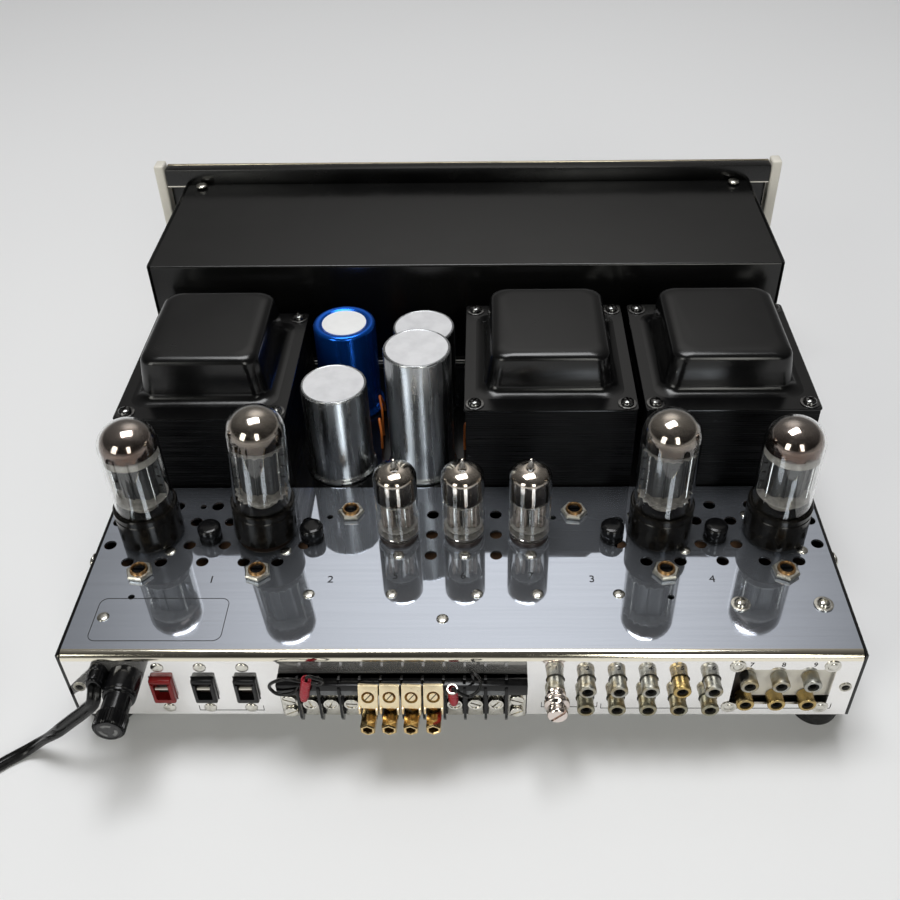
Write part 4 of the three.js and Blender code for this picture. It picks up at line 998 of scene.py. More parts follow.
def rear_tools():
    tools = []

    def hole(radius, x, z, stretch=1.0):
        tool = rod(radius, -rear_cut_depth, rear_cut_depth)
        tools.append(moved(tool, on_rear(x, z) @ Matrix.Diagonal((stretch, 1, 1, 1))))

    def slot(x, z, width, height):
        tools.append(moved(block(width, rear_cut_depth * 2, height), at(x, rear_y, z)))

    for x in jack_x:
        for z in jack_z:
            hole(jack_radius + fit_gap, x, z)
    for x in outlet_x:
        slot(x, outlet_z, outlet_width + 2 * fit_gap, outlet_height + 2 * fit_gap)
    slot(sum(window_x) / 2, sum(window_z) / 2, window_x[1] - window_x[0], window_z[1] - window_z[0])
    hole(fuse_body_radius + fit_gap, fuse_x, fuse_z)
    hole(gland_hole_radius, gland_x, gland_z, gland_width / gland_height)
    for side in (-1, 1):
        hole(eyelet_radius, side * eyelet_x, eyelet_z)
    return tools


def chrome_deck():
    outline = deck_outline()
    shape = lofted([[(x, rear_y - depth, z) for depth, z in outline] for x in (-deck_half, deck_half)])
    for tools in (vent_tools(), fitting_tools(), rear_tools()):
        shape = carved(shape, tools)
    deck = Form().add(shape, chrome)
    deck.looks += [bend_chrome_painted_highlight, rear_chrome]
    points = shape[0]
    # Faces on the bend take the warm bend chrome with its painted warm highlight; faces below it take the
    # rear chrome.
    for i, face in enumerate(shape[1]):
        y = sum(points[v][1] for v in face) / len(face)
        z = sum(points[v][2] for v in face) / len(face)
        if y > rear_y - bend_radius:
            deck.which[i] = 1 if z > deck_top - bend_radius else 2
    ob = deck.piece("chrome_deck_sheet", stands_for=("chrome_deck",), slot="chrome_plate")
    for polygon in ob.data.polygons:
        polygon.use_smooth = False


def deck_fasteners():
    form = Form()
    places = list(rivet_places)
    places += [(x + driver_rivet_x, driver_y + side * driver_rivet_y) for x in driver_x for side in (-1, 1)]
    for x in valve_places.values():
        places += [(x - side * base_rivet_x, valve_y + side * base_rivet_y) for side in (-1, 1)]
    for x, y in places:
        form.add(rivet_shape, nickel, at(x, y, deck_top + hair))
    for x, y in deck_screw_places:
        form.add(washer_shape, nickel, at(x, y, deck_top + hair))
        form.add(small_phillips, nickel, at(x, y, deck_top + washer_height + 2 * hair) @ spin(x))
    for side in (-1, 1):
        place = at(side * (pan_high.x + hair), rear_y - side_screw_back, deck_top - side_screw_drop)
        place = place @ spin(side * math.pi / 2, "Y")
        form.add(washer_shape, nickel, place)
        form.add(small_phillips, nickel, place @ at(0, 0, washer_height))
    form.piece("deck_rivets_and_screws", slot="nickel_plate")


chrome_deck()
deck_fasteners()


# Wiring boards: sockets, screwdriver controls and test points that show above the deck
board_top = deck_top - 0.016
board_thickness = 0.002
board_x = (0.0695, 0.1765)
board_margin_low = 0.0237
board_margin_high = 0.0145
driver_board_width = 0.131
socket_bore = 0.0047
socket_sink = 0.001
small_socket_rise = 0.0022
nut_radius = 0.0118 / math.sqrt(3)
nut_bore = 0.0045
nut_height = 0.0024
bush_rise = 0.0042
bush_root = 0.008
test_cap_radius = 0.00585
test_cap_z = (0.0037, 0.0084, 0.0095)
test_cap_crown = 0.0042
test_cap_edge = 0.0011
test_root = 0.015
test_flange = 0.0057
test_flange_height = 0.0012
test_neck = 0.0052
test_neck_z = (0.0016, 0.0038)
thread_pitch = 0.0005
thread_depth = 0.00022
shaft_radius = 0.0029
slot_width = 0.001
slot_depth = 0.0028
trim_case_radius = 0.008
trim_case_bore = 0.0032
trim_case_low = 0.0145
trim_case_floor = 0.012
trim_case_high = 0.007


def hex_nut():
    edge = nut_height * 0.3
    profile = [(nut_bore, 0), (nut_radius - edge, 0), (nut_radius, edge), (nut_radius, nut_height - edge)]
    profile += [(nut_radius - edge, nut_height), (nut_bore, nut_height)]
    return turned(profile, 6, True)


def threaded_bush():
    low, high = deck_top - bush_root, deck_top + bush_rise
    bore = shaft_radius + fit_gap
    profile = [(bore, low), (bush_radius, low)]
    z = deck_top + nut_height + fit_gap
    while z < high - soft_edge:
        profile += [(bush_radius, z), (bush_radius - thread_depth, z + thread_pitch / 2)]
        z += thread_pitch
    profile += [(bush_radius - small_edge, high), (bore + thin_edge, high), (bore, high - plain_edge)]
    return turned(profile, round_sides, True)


def test_point():
    low, shoulder, top = test_cap_z
    radius = test_cap_radius
    cap = [(0, low), (radius, low), (radius, shoulder), (test_cap_crown, top - 2 * hair), (0, top)]
    step, top = test_neck_z
    collar = [(0, -test_root), (test_stem_radius, -test_root), (test_stem_radius, fit_gap)]
    collar += [(test_flange, fit_gap), (test_flange, test_flange_height), (test_neck, step)]
    collar += [(test_neck, top), (0, top)]
    return turned(rounded(cap, test_cap_edge), round_sides), turned(collar, round_sides)


def board_forms():
    nut, bush = hex_nut(), threaded_bush()
    cap, collar = test_point()
    y0 = valve_y - board_margin_low
    trim_y = trim_places["bias_trim_1"].y
    y1 = trim_y + board_margin_high

    def board(x0, x1):
        plate = block(x1 - x0, y1 - y0, board_thickness, hair_edge)
        return Form().add(plate, phenolic, at((x0 + x1) / 2, (y0 + y1) / 2, board_top - board_thickness / 2))

    for side, name in ((1, "output_board_right"), (-1, "output_board_left")):
        form = board(*sorted(side * x for x in board_x))
        socket = sleeve(socket_bore, socket_radius, board_top - socket_sink, deck_top, soft_edge)
        for x in valve_places.values():
            if x * side > 0:
                form.add(socket, dark_phenolic, at(x, valve_y, 0))
                add_trim(form, nut, bush, x, trim_y)
        for x, y in test_places:
            if x * side > 0:
                form.add(collar, black_plastic, at(x, y, deck_top))
                form.add(cap, black_plastic, at(x, y, deck_top))
        form.piece(f"{name}_fitted", stands_for=(name,), slot="phenolic")
    form = board(-driver_board_width / 2, driver_board_width / 2)
    high = deck_top + small_socket_rise
    ring = [(0, board_top), (small_socket_radius, board_top), (small_socket_radius, high), (0, high)]
    for x in driver_x:
        form.add(turned(rounded(ring, soft_edge), round_sides), dark_phenolic, at(x, driver_y, 0))
    for n in ("balance_trim_1", "balance_trim_2"):
        add_trim(form, nut, bush, *trim_places[n])
    form.piece("driver_board_fitted", stands_for=("driver_board",), slot="phenolic")


def add_trim(form, nut, bush, x, y):
    form.add(nut, dull_nickel, at(x, y, deck_top + fit_gap) @ spin(random.uniform(-0.5, 0.5)))
    form.add(bush, brass, at(x, y, 0))
    low, high, radius = -trim_case_low, -trim_case_high, trim_case_radius
    case = turned(rounded([(0, low), (radius, low), (radius, high), (0, high)], soft_edge), round_sides)
    case = carved(case, [rod(trim_case_bore, -trim_case_floor, 0, small_sides)])
    form.add(case, zinc, at(x, y, deck_top))


def trim_shafts():
    for n in trim_nodes:
        low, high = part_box(n)
        radius = (high.x - low.x) / 2
        profile = rounded([(0, low.z), (radius, low.z), (radius, high.z), (0, high.z)], thin_edge)
        slot = moved(block(radius * 3, slot_width, slot_depth), at(0, 0, high.z))
        form = Form().add(carved(turned(profile, round_sides), [slot]), black_plastic, at(*trim_places[n], 0))
        form.piece(f"{n}_shaft", rides=n.replace("trim", "shaft"), stands_for=(n,), slot="nickel_plate")


board_forms()
trim_shafts()


# Output valves
base_radius = 0.0157
base_height = 0.0215
base_key_radius = 0.0039
base_key_depth = 0.006
base_chamfer = 0.0018
# Insets from the radius and drops from the top
base_groove = [(0, 0.0042), (0.0003, 0.0038), (0.0003, 0.0034), (0, 0.003), (0, 0.0006), (0.0006, 0)]
base_well_depth = 0.002
bulb_radius = 0.0142
bulb_wall = 0.0008
bulb_sink = 0.0018
shoulder_drop = 0.0122
shell_gap = 0.0002
shell_thickness = 0.00012
valve_heights = dict(zip(valve_places, (0.0713, 0.0764, 0.0757, 0.0713)))
valve_turns = dict(zip(valve_places, (-0.12, 0.1, -0.05, -0.05)))
leaning_valve = "power_tube_2"
spiky_valves = ("power_tube_2", "power_tube_3")
valve_lean = math.radians(3.4)
lean_rise = 0.0026
anode_start = 0.0075
anode_top_drop = 0.0195
anode_half_width = 0.0088
anode_half_depth = 0.0058
anode_sides = 72
anode_flutes = 6
flute_share = 0.05
wing_x = 0.0107
rod_radius = 0.0005
rod_sides = 10
rod_x = 0.0095
rod_y = 0.0056
rod_below = 0.004
rod_above = 0.005
wing_width = 0.0042
wing_thickness = 0.0007
plate_slot = (0.0018, 0.0004, 0.001)
plate_slot_x = 0.0113
plate_slot_y = 0.00045
plate_slot_shares = (0.25, 0.5, 0.75)
plate_rib_width = 0.0011
plate_rib_depth = 0.0012
plate_rib_x = 0.0012
plate_rib_y = 0.0061
mica_radius = 0.0131
mica_thickness = 0.0004
mica_tooth = 0.0013
mica_teeth = 20
mica_below = 0.0012
mica_above = 0.0006
second_mica_radius = 0.0118
second_mica_thickness = 0.0003
second_mica_tooth = 0.0009
second_mica_rise = 0.0009
low_mica_radius = 0.0126
# Radius, and height over the plate or over the valve's base
collar_profile = [
    (0.005, 0.0008),
    (0.0128, 0.0002),
    (0.0132, 0.0007),
    (0.0118, 0.0032),
    (0.011, 0.0034),
    (0.005, 0.0014),
]
stem_profile = [(0, -0.001), (0.0075, -0.001), (0.005, 0.003), (0.0032, 0.0055), (0, 0.0058)]
stem_edge = 0.0015
lead_count = 6
lead_first_angle = 0.4
lead_foot_ring = 0.002
lead_foot_rise = 0.005
lead_head_x = 0.0075
lead_head_y = 0.0045
lead_head_rise = 0.001
lead_bulge = 0.0008
lead_radius = 0.0003
lead_sides = 8
spiky_getter_drop = 0.004
smooth_getter_drop = 0.0025
getter_fade_drop = 0.002


def spiked_disc(radius, depth, teeth, z, thickness):
    outline = []
    for k in range(teeth * 2):
        angle = k * math.pi / teeth
        reach = radius - (depth if k % 2 else 0)
        outline.append((reach * math.cos(angle), reach * math.sin(angle)))
    return prism(outline, z, z + thickness)


def dome_points(radius, shoulder, height):
    return arc_points(radius, shoulder, height, 14)


def bulb(radius, foot, shoulder, height, wall):
    outer = [(radius - soft_edge, foot), (radius, foot + wide_edge), *dome_points(radius, shoulder, height)]
    inner = dome_points(radius - wall, shoulder, height - wall)[::-1]
    return turned([*outer, *inner, (radius - wall, foot)], fine_sides, True)


def getter_shell(radius, low, shoulder, height):
    """A thin shell inside the glass."""
    thin = shell_thickness
    outer = [(radius, low), (radius, (low + shoulder) / 2), *dome_points(radius, shoulder, height)]
    inner = [(max(r - thin, 0), z - (thin if r < radius * 0.9 else 0)) for r, z in outer][::-1]
    return turned([*outer, *inner], fine_sides, True)


def fade_down(ob, low, high):
    """Stores 0 at the height high and 1 at low, for the edge of the getter."""
    values = [min(max((high - v.co.z) / (high - low), 0), 1) for v in ob.data.vertices]
    attribute = ob.data.attributes.new("fade", "FLOAT", "POINT")
    attribute.data.foreach_set("value", values)


def valve_base():
    profile = [(0, -base_key_depth), (base_key_radius, -base_key_depth), (base_key_radius, 0)]
    profile += [(base_radius - base_chamfer, 0), (base_radius, base_chamfer)]
    profile += inset_points(base_radius, base_height, base_groove)
    well, floor = bulb_radius + shell_gap, base_height - base_well_depth
    profile += [(well, base_height), (well, floor), (0, floor)]
    return turned(profile, fine_sides)


def anode(low, high, half_width, half_depth):
    """A plate of two bowed halves with six flutes."""
    outline = []
    for k in range(anode_sides):
        angle = k * math.tau / anode_sides
        c, s = math.cos(angle), math.sin(angle)
        flute = 1 + flute_share * math.cos(anode_flutes * angle)
        x = half_width * math.copysign(abs(c) ** 0.7, c) * flute
        y = half_depth * math.copysign(abs(s) ** 0.6, s) * flute
        outline.append((x, y))
    return prism(outline, low, high)


def valve_plates(form, low, high, place):
    middle = (low + high) / 2
    form.add(anode(low, high, anode_half_width, anode_half_depth), plate_grey, place)
    support = rod(rod_radius, low - rod_below, high + rod_above, rod_sides)
    wing = block(wing_width, wing_thickness, high - low, hair_edge)
    # Dark marks on the wings stand for slots: painted shade where the slots are.
    slot = block(*plate_slot)
    for side in (-1, 1):
        form.add(wing, plate_grey, place @ at(side * wing_x, 0, middle))
        for y in (-rod_y, rod_y):
            form.add(support, rod_metal, place @ at(side * rod_x, y, 0))
        for share in plate_slot_shares:
            z = low + (high - low) * share
            form.add(slot, painted_hole_shade, place @ at(side * plate_slot_x, plate_slot_y, z))
    rib = block(plate_rib_width, plate_rib_depth, high - low, small_edge)
    form.add(rib, plate_grey, place @ at(plate_rib_x, plate_rib_y, middle))


def valve_micas(form, low, high, spiky, place):
    if spiky:
        for z in (low - mica_below, high + mica_above):
            form.add(spiked_disc(mica_radius, mica_tooth, mica_teeth, z, mica_thickness), mica, place)
            z += second_mica_rise
            disc = spiked_disc(second_mica_radius, second_mica_tooth, mica_teeth, z, second_mica_thickness)
            form.add(disc, smoked_mica, place)
        return
    collar = [(radius, high + z) for radius, z in collar_profile]
    form.add(turned(rounded(collar, thin_edge, 3, True), fine_sides, True), mica, place)
    z = low - mica_below
    form.add(rod(low_mica_radius, z, z + mica_thickness, fine_sides), mica, place)


def valve_stem(form, low, place):
    stem = [(radius, base_height + z) for radius, z in stem_profile]
    form.add(turned(rounded(stem, stem_edge), small_sides), smoked_mica, place)
    for k in range(lead_count):
        angle = k * math.tau / lead_count + lead_first_angle
        c, s = math.cos(angle), math.sin(angle)
        foot = Vector((lead_foot_ring * c, lead_foot_ring * s, base_height + lead_foot_rise))
        head = Vector((lead_head_x * c, lead_head_y * s, low + lead_head_rise))
        middle = foot.lerp(head, 0.5) + Vector((0, 0, lead_bulge))
        form.add(tube_along([foot, middle, head], lead_radius, lead_sides), rod_metal, place)


def power_valves():
    base = valve_base()
    for name, x in valve_places.items():
        height = valve_heights[name]
        spiky = name in spiky_valves
        start = deck_top + (lean_rise if name == leaning_valve else 0)
        place = at(x, valve_y, start + fit_gap)
        if name == leaning_valve:
            place = place @ spin(-valve_lean, "Y")
        Form().add(base, base_black, place).piece(f"{name}_base", stands_for=(name,), slot="valve_glass")
        low, high = base_height + anode_start, height - anode_top_drop
        inner = Form()
        turned_place = place @ spin(valve_turns[name])
        valve_plates(inner, low, high, turned_place)
        valve_micas(inner, low, high, spiky, turned_place)
        valve_stem(inner, low, turned_place)
        inner.piece(f"{name}_electrodes")
        shoulder = height - shoulder_drop
        shell = bulb(bulb_radius, base_height - bulb_sink, shoulder, height, bulb_wall)
        Form().add(shell, glass, place).piece(f"{name}_bulb", slot="valve_glass")
        low = shoulder - (spiky_getter_drop if spiky else smooth_getter_drop)
        inset = bulb_wall + shell_gap
        shell = getter_shell(bulb_radius - inset, low, shoulder, height - inset)
        look = silver_getter if spiky else smoky_getter
        getter = Form().add(shell, look, place).piece(f"{name}_getter")
        fade_down(getter, start + low, start + height - getter_fade_drop)


power_valves()


# Driver valves
driver_radius = 0.0106
driver_wall = 0.0007
driver_height = 0.043
driver_shoulder = driver_height - 0.0058
driver_tip = 0.0478
driver_getter_low = 0.0245
driver_mica_radius = 0.0093
driver_mica_tooth = 0.0006
driver_mica_teeth = 24
driver_mica_z = (0.0066, 0.0232)
driver_plate_x = 0.0041
driver_plate_z = (0.0078, 0.0226)
driver_plate_half = (0.0034, 0.0043)
driver_bar = (0.0008, 0.001, 0.0145)
driver_bar_y = 0.0048
driver_screen = (0.0005, 0.012, 0.0148)
driver_pin_ring = 0.0062
driver_pin_z = (0.0022, 0.0072)
# The glass: insets and heights at the foot, radii and rises at the nose, insets and heights inside
driver_foot = [(0.002, 0), (0.0004, 0.0009), (0, 0.0026)]
driver_nose_radius = 0.0022
driver_nose = [(0.0015, 0.0006), (0.0012, 0.0024)]
driver_nose_end = (0.0005, 0.0004)
driver_well = [(0.0007, 0.003), (0.0026, 0.0007)]
driver_button = [(0.003, 0.0002), (0.0014, 0.0022)]
driver_button_height = 0.0026
driver_nib = [(0, -0.0012), (0.0012, 0), (0.0009, 0.0022)]
driver_nib_drop = 0.0012


def driver_bulb():
    radius, wall, top = driver_radius, driver_wall, driver_height
    outer = [(radius - inset, z) for inset, z in driver_foot]
    outer += [(r, z) for r, z in dome_points(radius, driver_shoulder, top) if r > driver_nose_radius]
    outer += [(r, top + rise) for r, rise in driver_nose]
    outer += [(driver_nose_end[0], driver_tip - driver_nose_end[1]), (0, driver_tip)]
    inner = dome_points(radius - wall, driver_shoulder, top - wall)[::-1]
    inner += [(radius - inset, z) for inset, z in driver_well]
    return turned([*outer, *inner], fine_sides, True)


def driver_inside(place):
    button = [(driver_radius - inset, z) for inset, z in driver_button]
    button = [(0, driver_button[0][1]), *button, (0, driver_button_height)]
    nib = [(radius, driver_height + rise) for radius, rise in driver_nib]
    nib.append((0, driver_tip - driver_nib_drop))
    middle = sum(driver_plate_z) / 2
    form = Form().add(turned(button, round_sides), smoked_mica, place)
    form.add(turned(nib, small_sides), smoked_mica, place)
    plate = anode(*driver_plate_z, *driver_plate_half)
    bar = block(*driver_bar, thin_edge)
    for side in (-1, 1):
        form.add(plate, plate_bright, place @ at(side * driver_plate_x, 0, 0))
        form.add(bar, rod_metal, place @ at(side * driver_plate_x, driver_bar_y, middle))
    form.add(block(*driver_screen), rod_metal, place @ at(0, 0, middle))
    for z in driver_mica_z:
        disc = spiked_disc(driver_mica_radius, driver_mica_tooth, driver_mica_teeth, z, mica_thickness)
        form.add(disc, mica, place)
    pin_shape = rod(rod_radius, *driver_pin_z, rod_sides)
    for pin in range(1, 10):
        angle = pin * math.tau / 10
        spot = at(driver_pin_ring * math.cos(angle), driver_pin_ring * math.sin(angle), 0)
        form.add(pin_shape, rod_metal, place @ spot)
    return form


def driver_valves():
    glass_shape = driver_bulb()
    inset = driver_wall + shell_gap
    shell = getter_shell(driver_radius - inset, driver_getter_low, driver_shoulder, driver_height - inset)
    for k, x in enumerate(driver_x):
        name = f"driver_tube_{k + 1}"
        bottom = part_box(name)[0].z
        place = at(x, driver_y, bottom)
        Form().add(glass_shape, glass, place).piece(f"{name}_bulb", stands_for=(name,), slot="valve_glass")
        driver_inside(place).piece(f"{name}_electrodes")
        getter = Form().add(shell, silver_getter, place).piece(f"{name}_getter")
        fade_down(getter, bottom + driver_getter_low, bottom + driver_height)


driver_valves()


# Transformers
transformer_names = ("power_transformer", "output_transformer_inner", "output_transformer_outer")
screw_inset = 0.0055
bell_screw = (0.0034, 0.0024)
bell_washer = (0.0048, 0.0021, 0.0005)
flange_corner = 0.002
bell_corner = 0.008
bell_foot_width = 0.066
bell_foot_length = 0.068
bell_top_width = 0.0602
bell_top_length = 0.0672
bell_edge = 0.0065
# How far up, how far in, and how much of the edge's rounding, for each ring of the bell
bell_shares = [
    (0, 0, -0.9),
    (0.012, 0, -0.62),
    (0.035, 0, -0.36),
    (0.07, 0, -0.17),
    (0.12, 0.04, -0.05),
    (0.18, 0.12, 0),
    (0.5, 0.5, 0),
    (0.84, 0.9, 0),
    (0.895, 0.95, 0.06),
    (0.94, 0.98, 0.2),
    (0.973, 1, 0.42),
    (0.993, 1, 0.7),
    (1, 1, 1),
]


def soft_rectangle(width, length, corner, per_corner=9):
    points = []
    for turn, (sx, sy) in enumerate(((1, 1), (-1, 1), (-1, -1), (1, -1))):
        for k in range(per_corner):
            angle = (turn + k / (per_corner - 1)) * math.pi / 2
            x = sx * (width / 2 - corner) + corner * math.cos(angle)
            points.append((x, sy * (length / 2 - corner) + corner * math.sin(angle)))
    return points


def level(outline, z):
    return [(x, y, z) for x, y in outline]


def flange_shape(width, length, low):
    steps = ((soft_edge, 0), (0, thin_edge), (0, sheet - thin_edge), (soft_edge, sheet))
    return lofted([level(soft_rectangle(width - e, length - e, flange_corner), low + z) for e, z in steps])


def bell_shape(low, rise):
    rings = []
    for up_share, wall_share, edge_share in bell_shares:
        wide = bell_foot_width + (bell_top_width - bell_foot_width) * wall_share
        long = bell_foot_length + (bell_top_length - bell_foot_length) * wall_share
        edge = 2 * bell_edge * edge_share
        rings.append(level(soft_rectangle(wide - edge, long - edge, bell_corner), low + up_share * rise))
    return lofted(rings)


def transformer_bells():
    head = phillips_head(*bell_screw)
    ring = ring_shape(*bell_washer)
    for name in transformer_names:
        low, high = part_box(f"{name}_bell")
        middle = (low + high) / 2
        width, length = high.x - low.x, high.y - low.y
        top = low.z + sheet
        place = at(middle.x, middle.y, 0)
        form = Form().add(flange_shape(width, length, low.z), bell_black, place)
        form.add(bell_shape(top - hair * 2, high.z - top), bell_black, place)
        for sx in (-1, 1):
            for sy in (-1, 1):
                x = middle.x + sx * (width / 2 - screw_inset)
                y = middle.y + sy * (length / 2 - screw_inset)
                form.add(ring, black_screw, at(x, y, top))
                form.add(head, black_screw, at(x, y, top + small_edge) @ spin(random.uniform(0, math.pi)))
        form.piece(f"{name}_bell_cover", stands_for=(f"{name}_bell",), slot="transformer_black")


transformer_bells()


# Filter capacitors; the rims list insets from the radius and drops from the top
can_radius = 0.0172
can_foot = [(-0.0004, 0.0026), (0, 0.0034)]
can_seam_rise = 0.0016
can_rim = [(0, 0.0009), (0.0004, 0.0002), (0.0009, 0), (0.0013, 0.0003)]
can_lid = [(0.0014, 0.0004), (0.0015, 0.0001)]
film_foot_inset = 0.0006
film_foot_rise = 0.0012
film_neck_inset = 0.0008
film_neck_rise = 0.0026
film_wall_rise = 0.0042
film_rim = [(0, 0.0012), (0.0014, 0), (0.0036, 0.0002), (0.005, 0.0011)]
film_disc = [(0, 0.0013), (0.0122, 0.0013), (0.0122, 0.0007), (0, 0.0006)]


def bare_can(form, foot, height, place):
    side = [(0, 0), (foot, 0), (foot, can_seam_rise), *((can_radius - inset, z) for inset, z in can_foot)]
    side += [*inset_points(can_radius, height, can_rim), (0, height - can_rim[-1][1])]
    form.add(turned(rounded(side, plain_edge, 3), fine_sides), can_metal, place)
    top = [(0, height - can_lid[0][1]), *inset_points(can_radius, height, can_lid), (0, height)]
    form.add(turned(top, fine_sides), can_white, place)


def sleeved_can(form, foot, height, place):
    side = [(0, 0), (foot - film_foot_inset, 0), (foot, film_foot_rise)]
    side += [(foot - film_neck_inset, film_neck_rise), (can_radius, film_wall_rise)]
    side += [*inset_points(can_radius, height, film_rim), (0, height - film_rim[0][1])]
    form.add(turned(rounded(side, wide_edge), fine_sides), blue_film, place)
    disc = [(radius, height - drop) for radius, drop in film_disc]
    form.add(turned(disc, fine_sides), white_disc, place)


def filter_cans():
    for name in ("short", "tall", "front", "sleeved"):
        sleeved = name == "sleeved"
        low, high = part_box(f"filter_can_{name}")
        middle = (low + high) / 2
        form = Form()
        make = sleeved_can if sleeved else bare_can
        make(form, (high.x - low.x) / 2, high.z - low.z, at(middle.x, middle.y, low.z))
        part, slot = ("film", "blue_sleeve") if sleeved else ("shell", "can_aluminium")
        form.piece(f"filter_can_{name}_{part}", stands_for=(f"filter_can_{name}",), slot=slot)


# Orange wires: where each comes up and its swing, then shares of the swing and heights over the deck
deck_wire_starts = [(0.0465, -0.012, 0.004), (0.0455, 0.0105, 0.003), (-0.0005, 0.024, -0.0025)]
deck_wire_points = [(0, 0, -0.001), (0, 1, 0.008), (0.4, 1.6, 0.015), (0, 3.4, 0.0095), (0, 4, -0.001)]
deck_wire_radius = 0.0007
deck_wire_step = 0.001


def deck_wires():
    """Wires that come up beside the tall and the sleeved can."""
    form = Form()
    for x, y, swing in deck_wire_starts:
        path = [(x + swing * a, y + swing * b, deck_top + z) for a, b, z in deck_wire_points]
        form.add(tube_along(smooth_path(path, deck_wire_step), deck_wire_radius), orange_wire)
    form.piece("orange_wires")


filter_cans()
deck_wires()


# Chassis, cover and panel
panel_low, panel_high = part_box("front_panel")
cover_low, cover_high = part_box("preamp_cover")
cover_edge = 0.0013
cover_edge_steps = 8
cover_ring_shares = (0, 0.35, 1)
cover_rivet_x = 0.1724
cover_rivet_y = 0.0047
cover_rivet = (0.0037, 0.0016, 0.0004)
lip_depth = 0.0008
lip_height = 0.0007
lip_rises = (0.0006, 0.0024)
face_thickness = 0.002
liner_thickness = 0.001
rail_height = 0.0115
rail_edge = 0.0007
trim_height = 0.0009
trim_depth = 0.0006
cap_edge = 0.0014
cap_edge_steps = 4
knob_bore = 0.0036
knob_bore_half = 0.01
knob_names = ("selector", "bass", "treble", "balance", "volume")
knob_places = {n: middle_of(f"{n}_knob").x for n in knob_names}
knob_z = middle_of("bass_knob").z
skirt_low = 0.0012
skirt_high = 0.0046
skirt_bevel = 0.002
shaft_end = 0.02
flute_depth = 0.0004
flute_count = 44
crown_rim = [(0.0022, 0.0001), (0.004, 0)]
crown_drop = 0.0028
pointer_width = 0.0011
pointer_share = 0.62
pointer_place_share = 0.52
crown_low_share = 0.7
grip_high_share = 0.72
switch_hole = (0.016, 0.02, 0.013)
switch_hole_x = -0.141
switch_plate = (0.022, 0.0055, 0.016)
switch_plate_y = pan_low.y + 0.0045
lever_width = 0.007
lever_height = 0.012
lever_rib = (0.0006, 0.0008, 0.0105)
lever_rib_pitch = 0.0014
mark_height = 0.0042
tick_size = (0.0026, hair * 2, 0.0005)
tick_reach = 0.0035
mark_reach = 0.0075


def cover_ring(x, drop):
    low, high = cover_low, cover_high
    y, z = high.y - drop - cover_edge, high.z - drop - cover_edge
    angles = [k / cover_edge_steps * math.pi / 2 for k in range(cover_edge_steps + 1)]
    arc = [(y + cover_edge * math.cos(a), z + cover_edge * math.sin(a)) for a in angles]
    outline = [(low.y, low.z), (high.y - drop, low.z), *arc, (low.y, high.z - drop)]
    return [(x, y, z) for y, z in outline]


def preamp_cover():
    low, high = cover_low, cover_high
    insets = [cover_edge * share for share in cover_ring_shares]
    left = [cover_ring(low.x + inset, cover_edge - math.sqrt(cover_edge**2 - inset**2)) for inset in insets]
    right = [[(-x, y, z) for x, y, z in ring] for ring in reversed(left)]
    form = Form().add(lofted([*left, *right]), cover_black)
    rivet = turned(dome_profile(*cover_rivet), round_sides)
    for x in (cover_rivet_x, -cover_rivet_x):
        form.add(rivet, nickel, at(x, low.y + cover_rivet_y, high.z))
    lip = block(high.x - low.x, lip_depth, lip_height, hair_edge)
    for rise in lip_rises:
        form.add(lip, cream, at(0, high.y + thin_edge, deck_top + rise))
    form.piece("preamp_cover_box", stands_for=("preamp_cover",), slot="black_steel")


def front_panel():
    low, high = panel_low, panel_high
    width, height = high.x - low.x, high.z - low.z
    middle_z = (low.z + high.z) / 2
    bore = rod(knob_bore, -knob_bore_half, knob_bore_half, small_sides)
    tools = [moved(bore, at(x, low.y, knob_z) @ turn_front) for x in knob_places.values()]
    switch_z = middle_of("power_switch").z
    tools.append(moved(block(*switch_hole), at(switch_hole_x, low.y, switch_z)))
    form = Form()

    def plate(across, depth, tall, y, look, edge=0):
        form.add(carved(moved(block(across, depth, tall, edge), at(0, y, middle_z)), tools), look)

    plate(width, face_thickness, height, low.y + face_thickness / 2, champagne, soft_edge)
    liner_y = low.y + face_thickness + soft_edge
    plate(width - 2 * hair_edge, liner_thickness, height - 2 * small_edge, liner_y, chassis_black)
    rail_depth = high.y - low.y - face_thickness
    rail = block(width - hair_edge, rail_depth, rail_height, rail_edge)
    rail_inset = rail_height / 2 + 2 * hair
    for z in (high.z - rail_inset, low.z + rail_inset):
        form.add(rail, rail_grey, at(0, high.y - rail_depth / 2, z))
    trim = block(width - hair_edge, trim_depth, trim_height, hair_edge)
    for z in (high.z - rail_height, low.z + rail_height):
        form.add(trim, cream, at(0, high.y - hair_edge, z))
    form.piece("front_panel_dressed", stands_for=("front_panel",), slot="champagne_aluminium")


def end_caps():
    for side in ("right", "left"):
        low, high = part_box(f"end_cap_{side}")
        cap = block(*(high - low), cap_edge, cap_edge_steps)
        form = Form().add(cap, cream, at(*middle_of(f"end_cap_{side}")))
        form.piece(f"end_cap_{side}_cast", stands_for=(f"end_cap_{side}",), slot="cream_metal")


def fluted(radius, depth, teeth, low, high, edge):
    """A knurled ring."""
    rings = []
    for reach, z in ((-edge, low), (0, low + edge), (0, high - edge), (-edge, high)):
        ring = []
        for k in range(teeth * 4):
            here = radius + reach - (depth if k % 4 in (0, 1) else 0)
            angle = k * math.tau / (teeth * 4)
            ring.append((here * math.cos(angle), here * math.sin(angle), z))
        rings.append(ring)
    return lofted(rings)


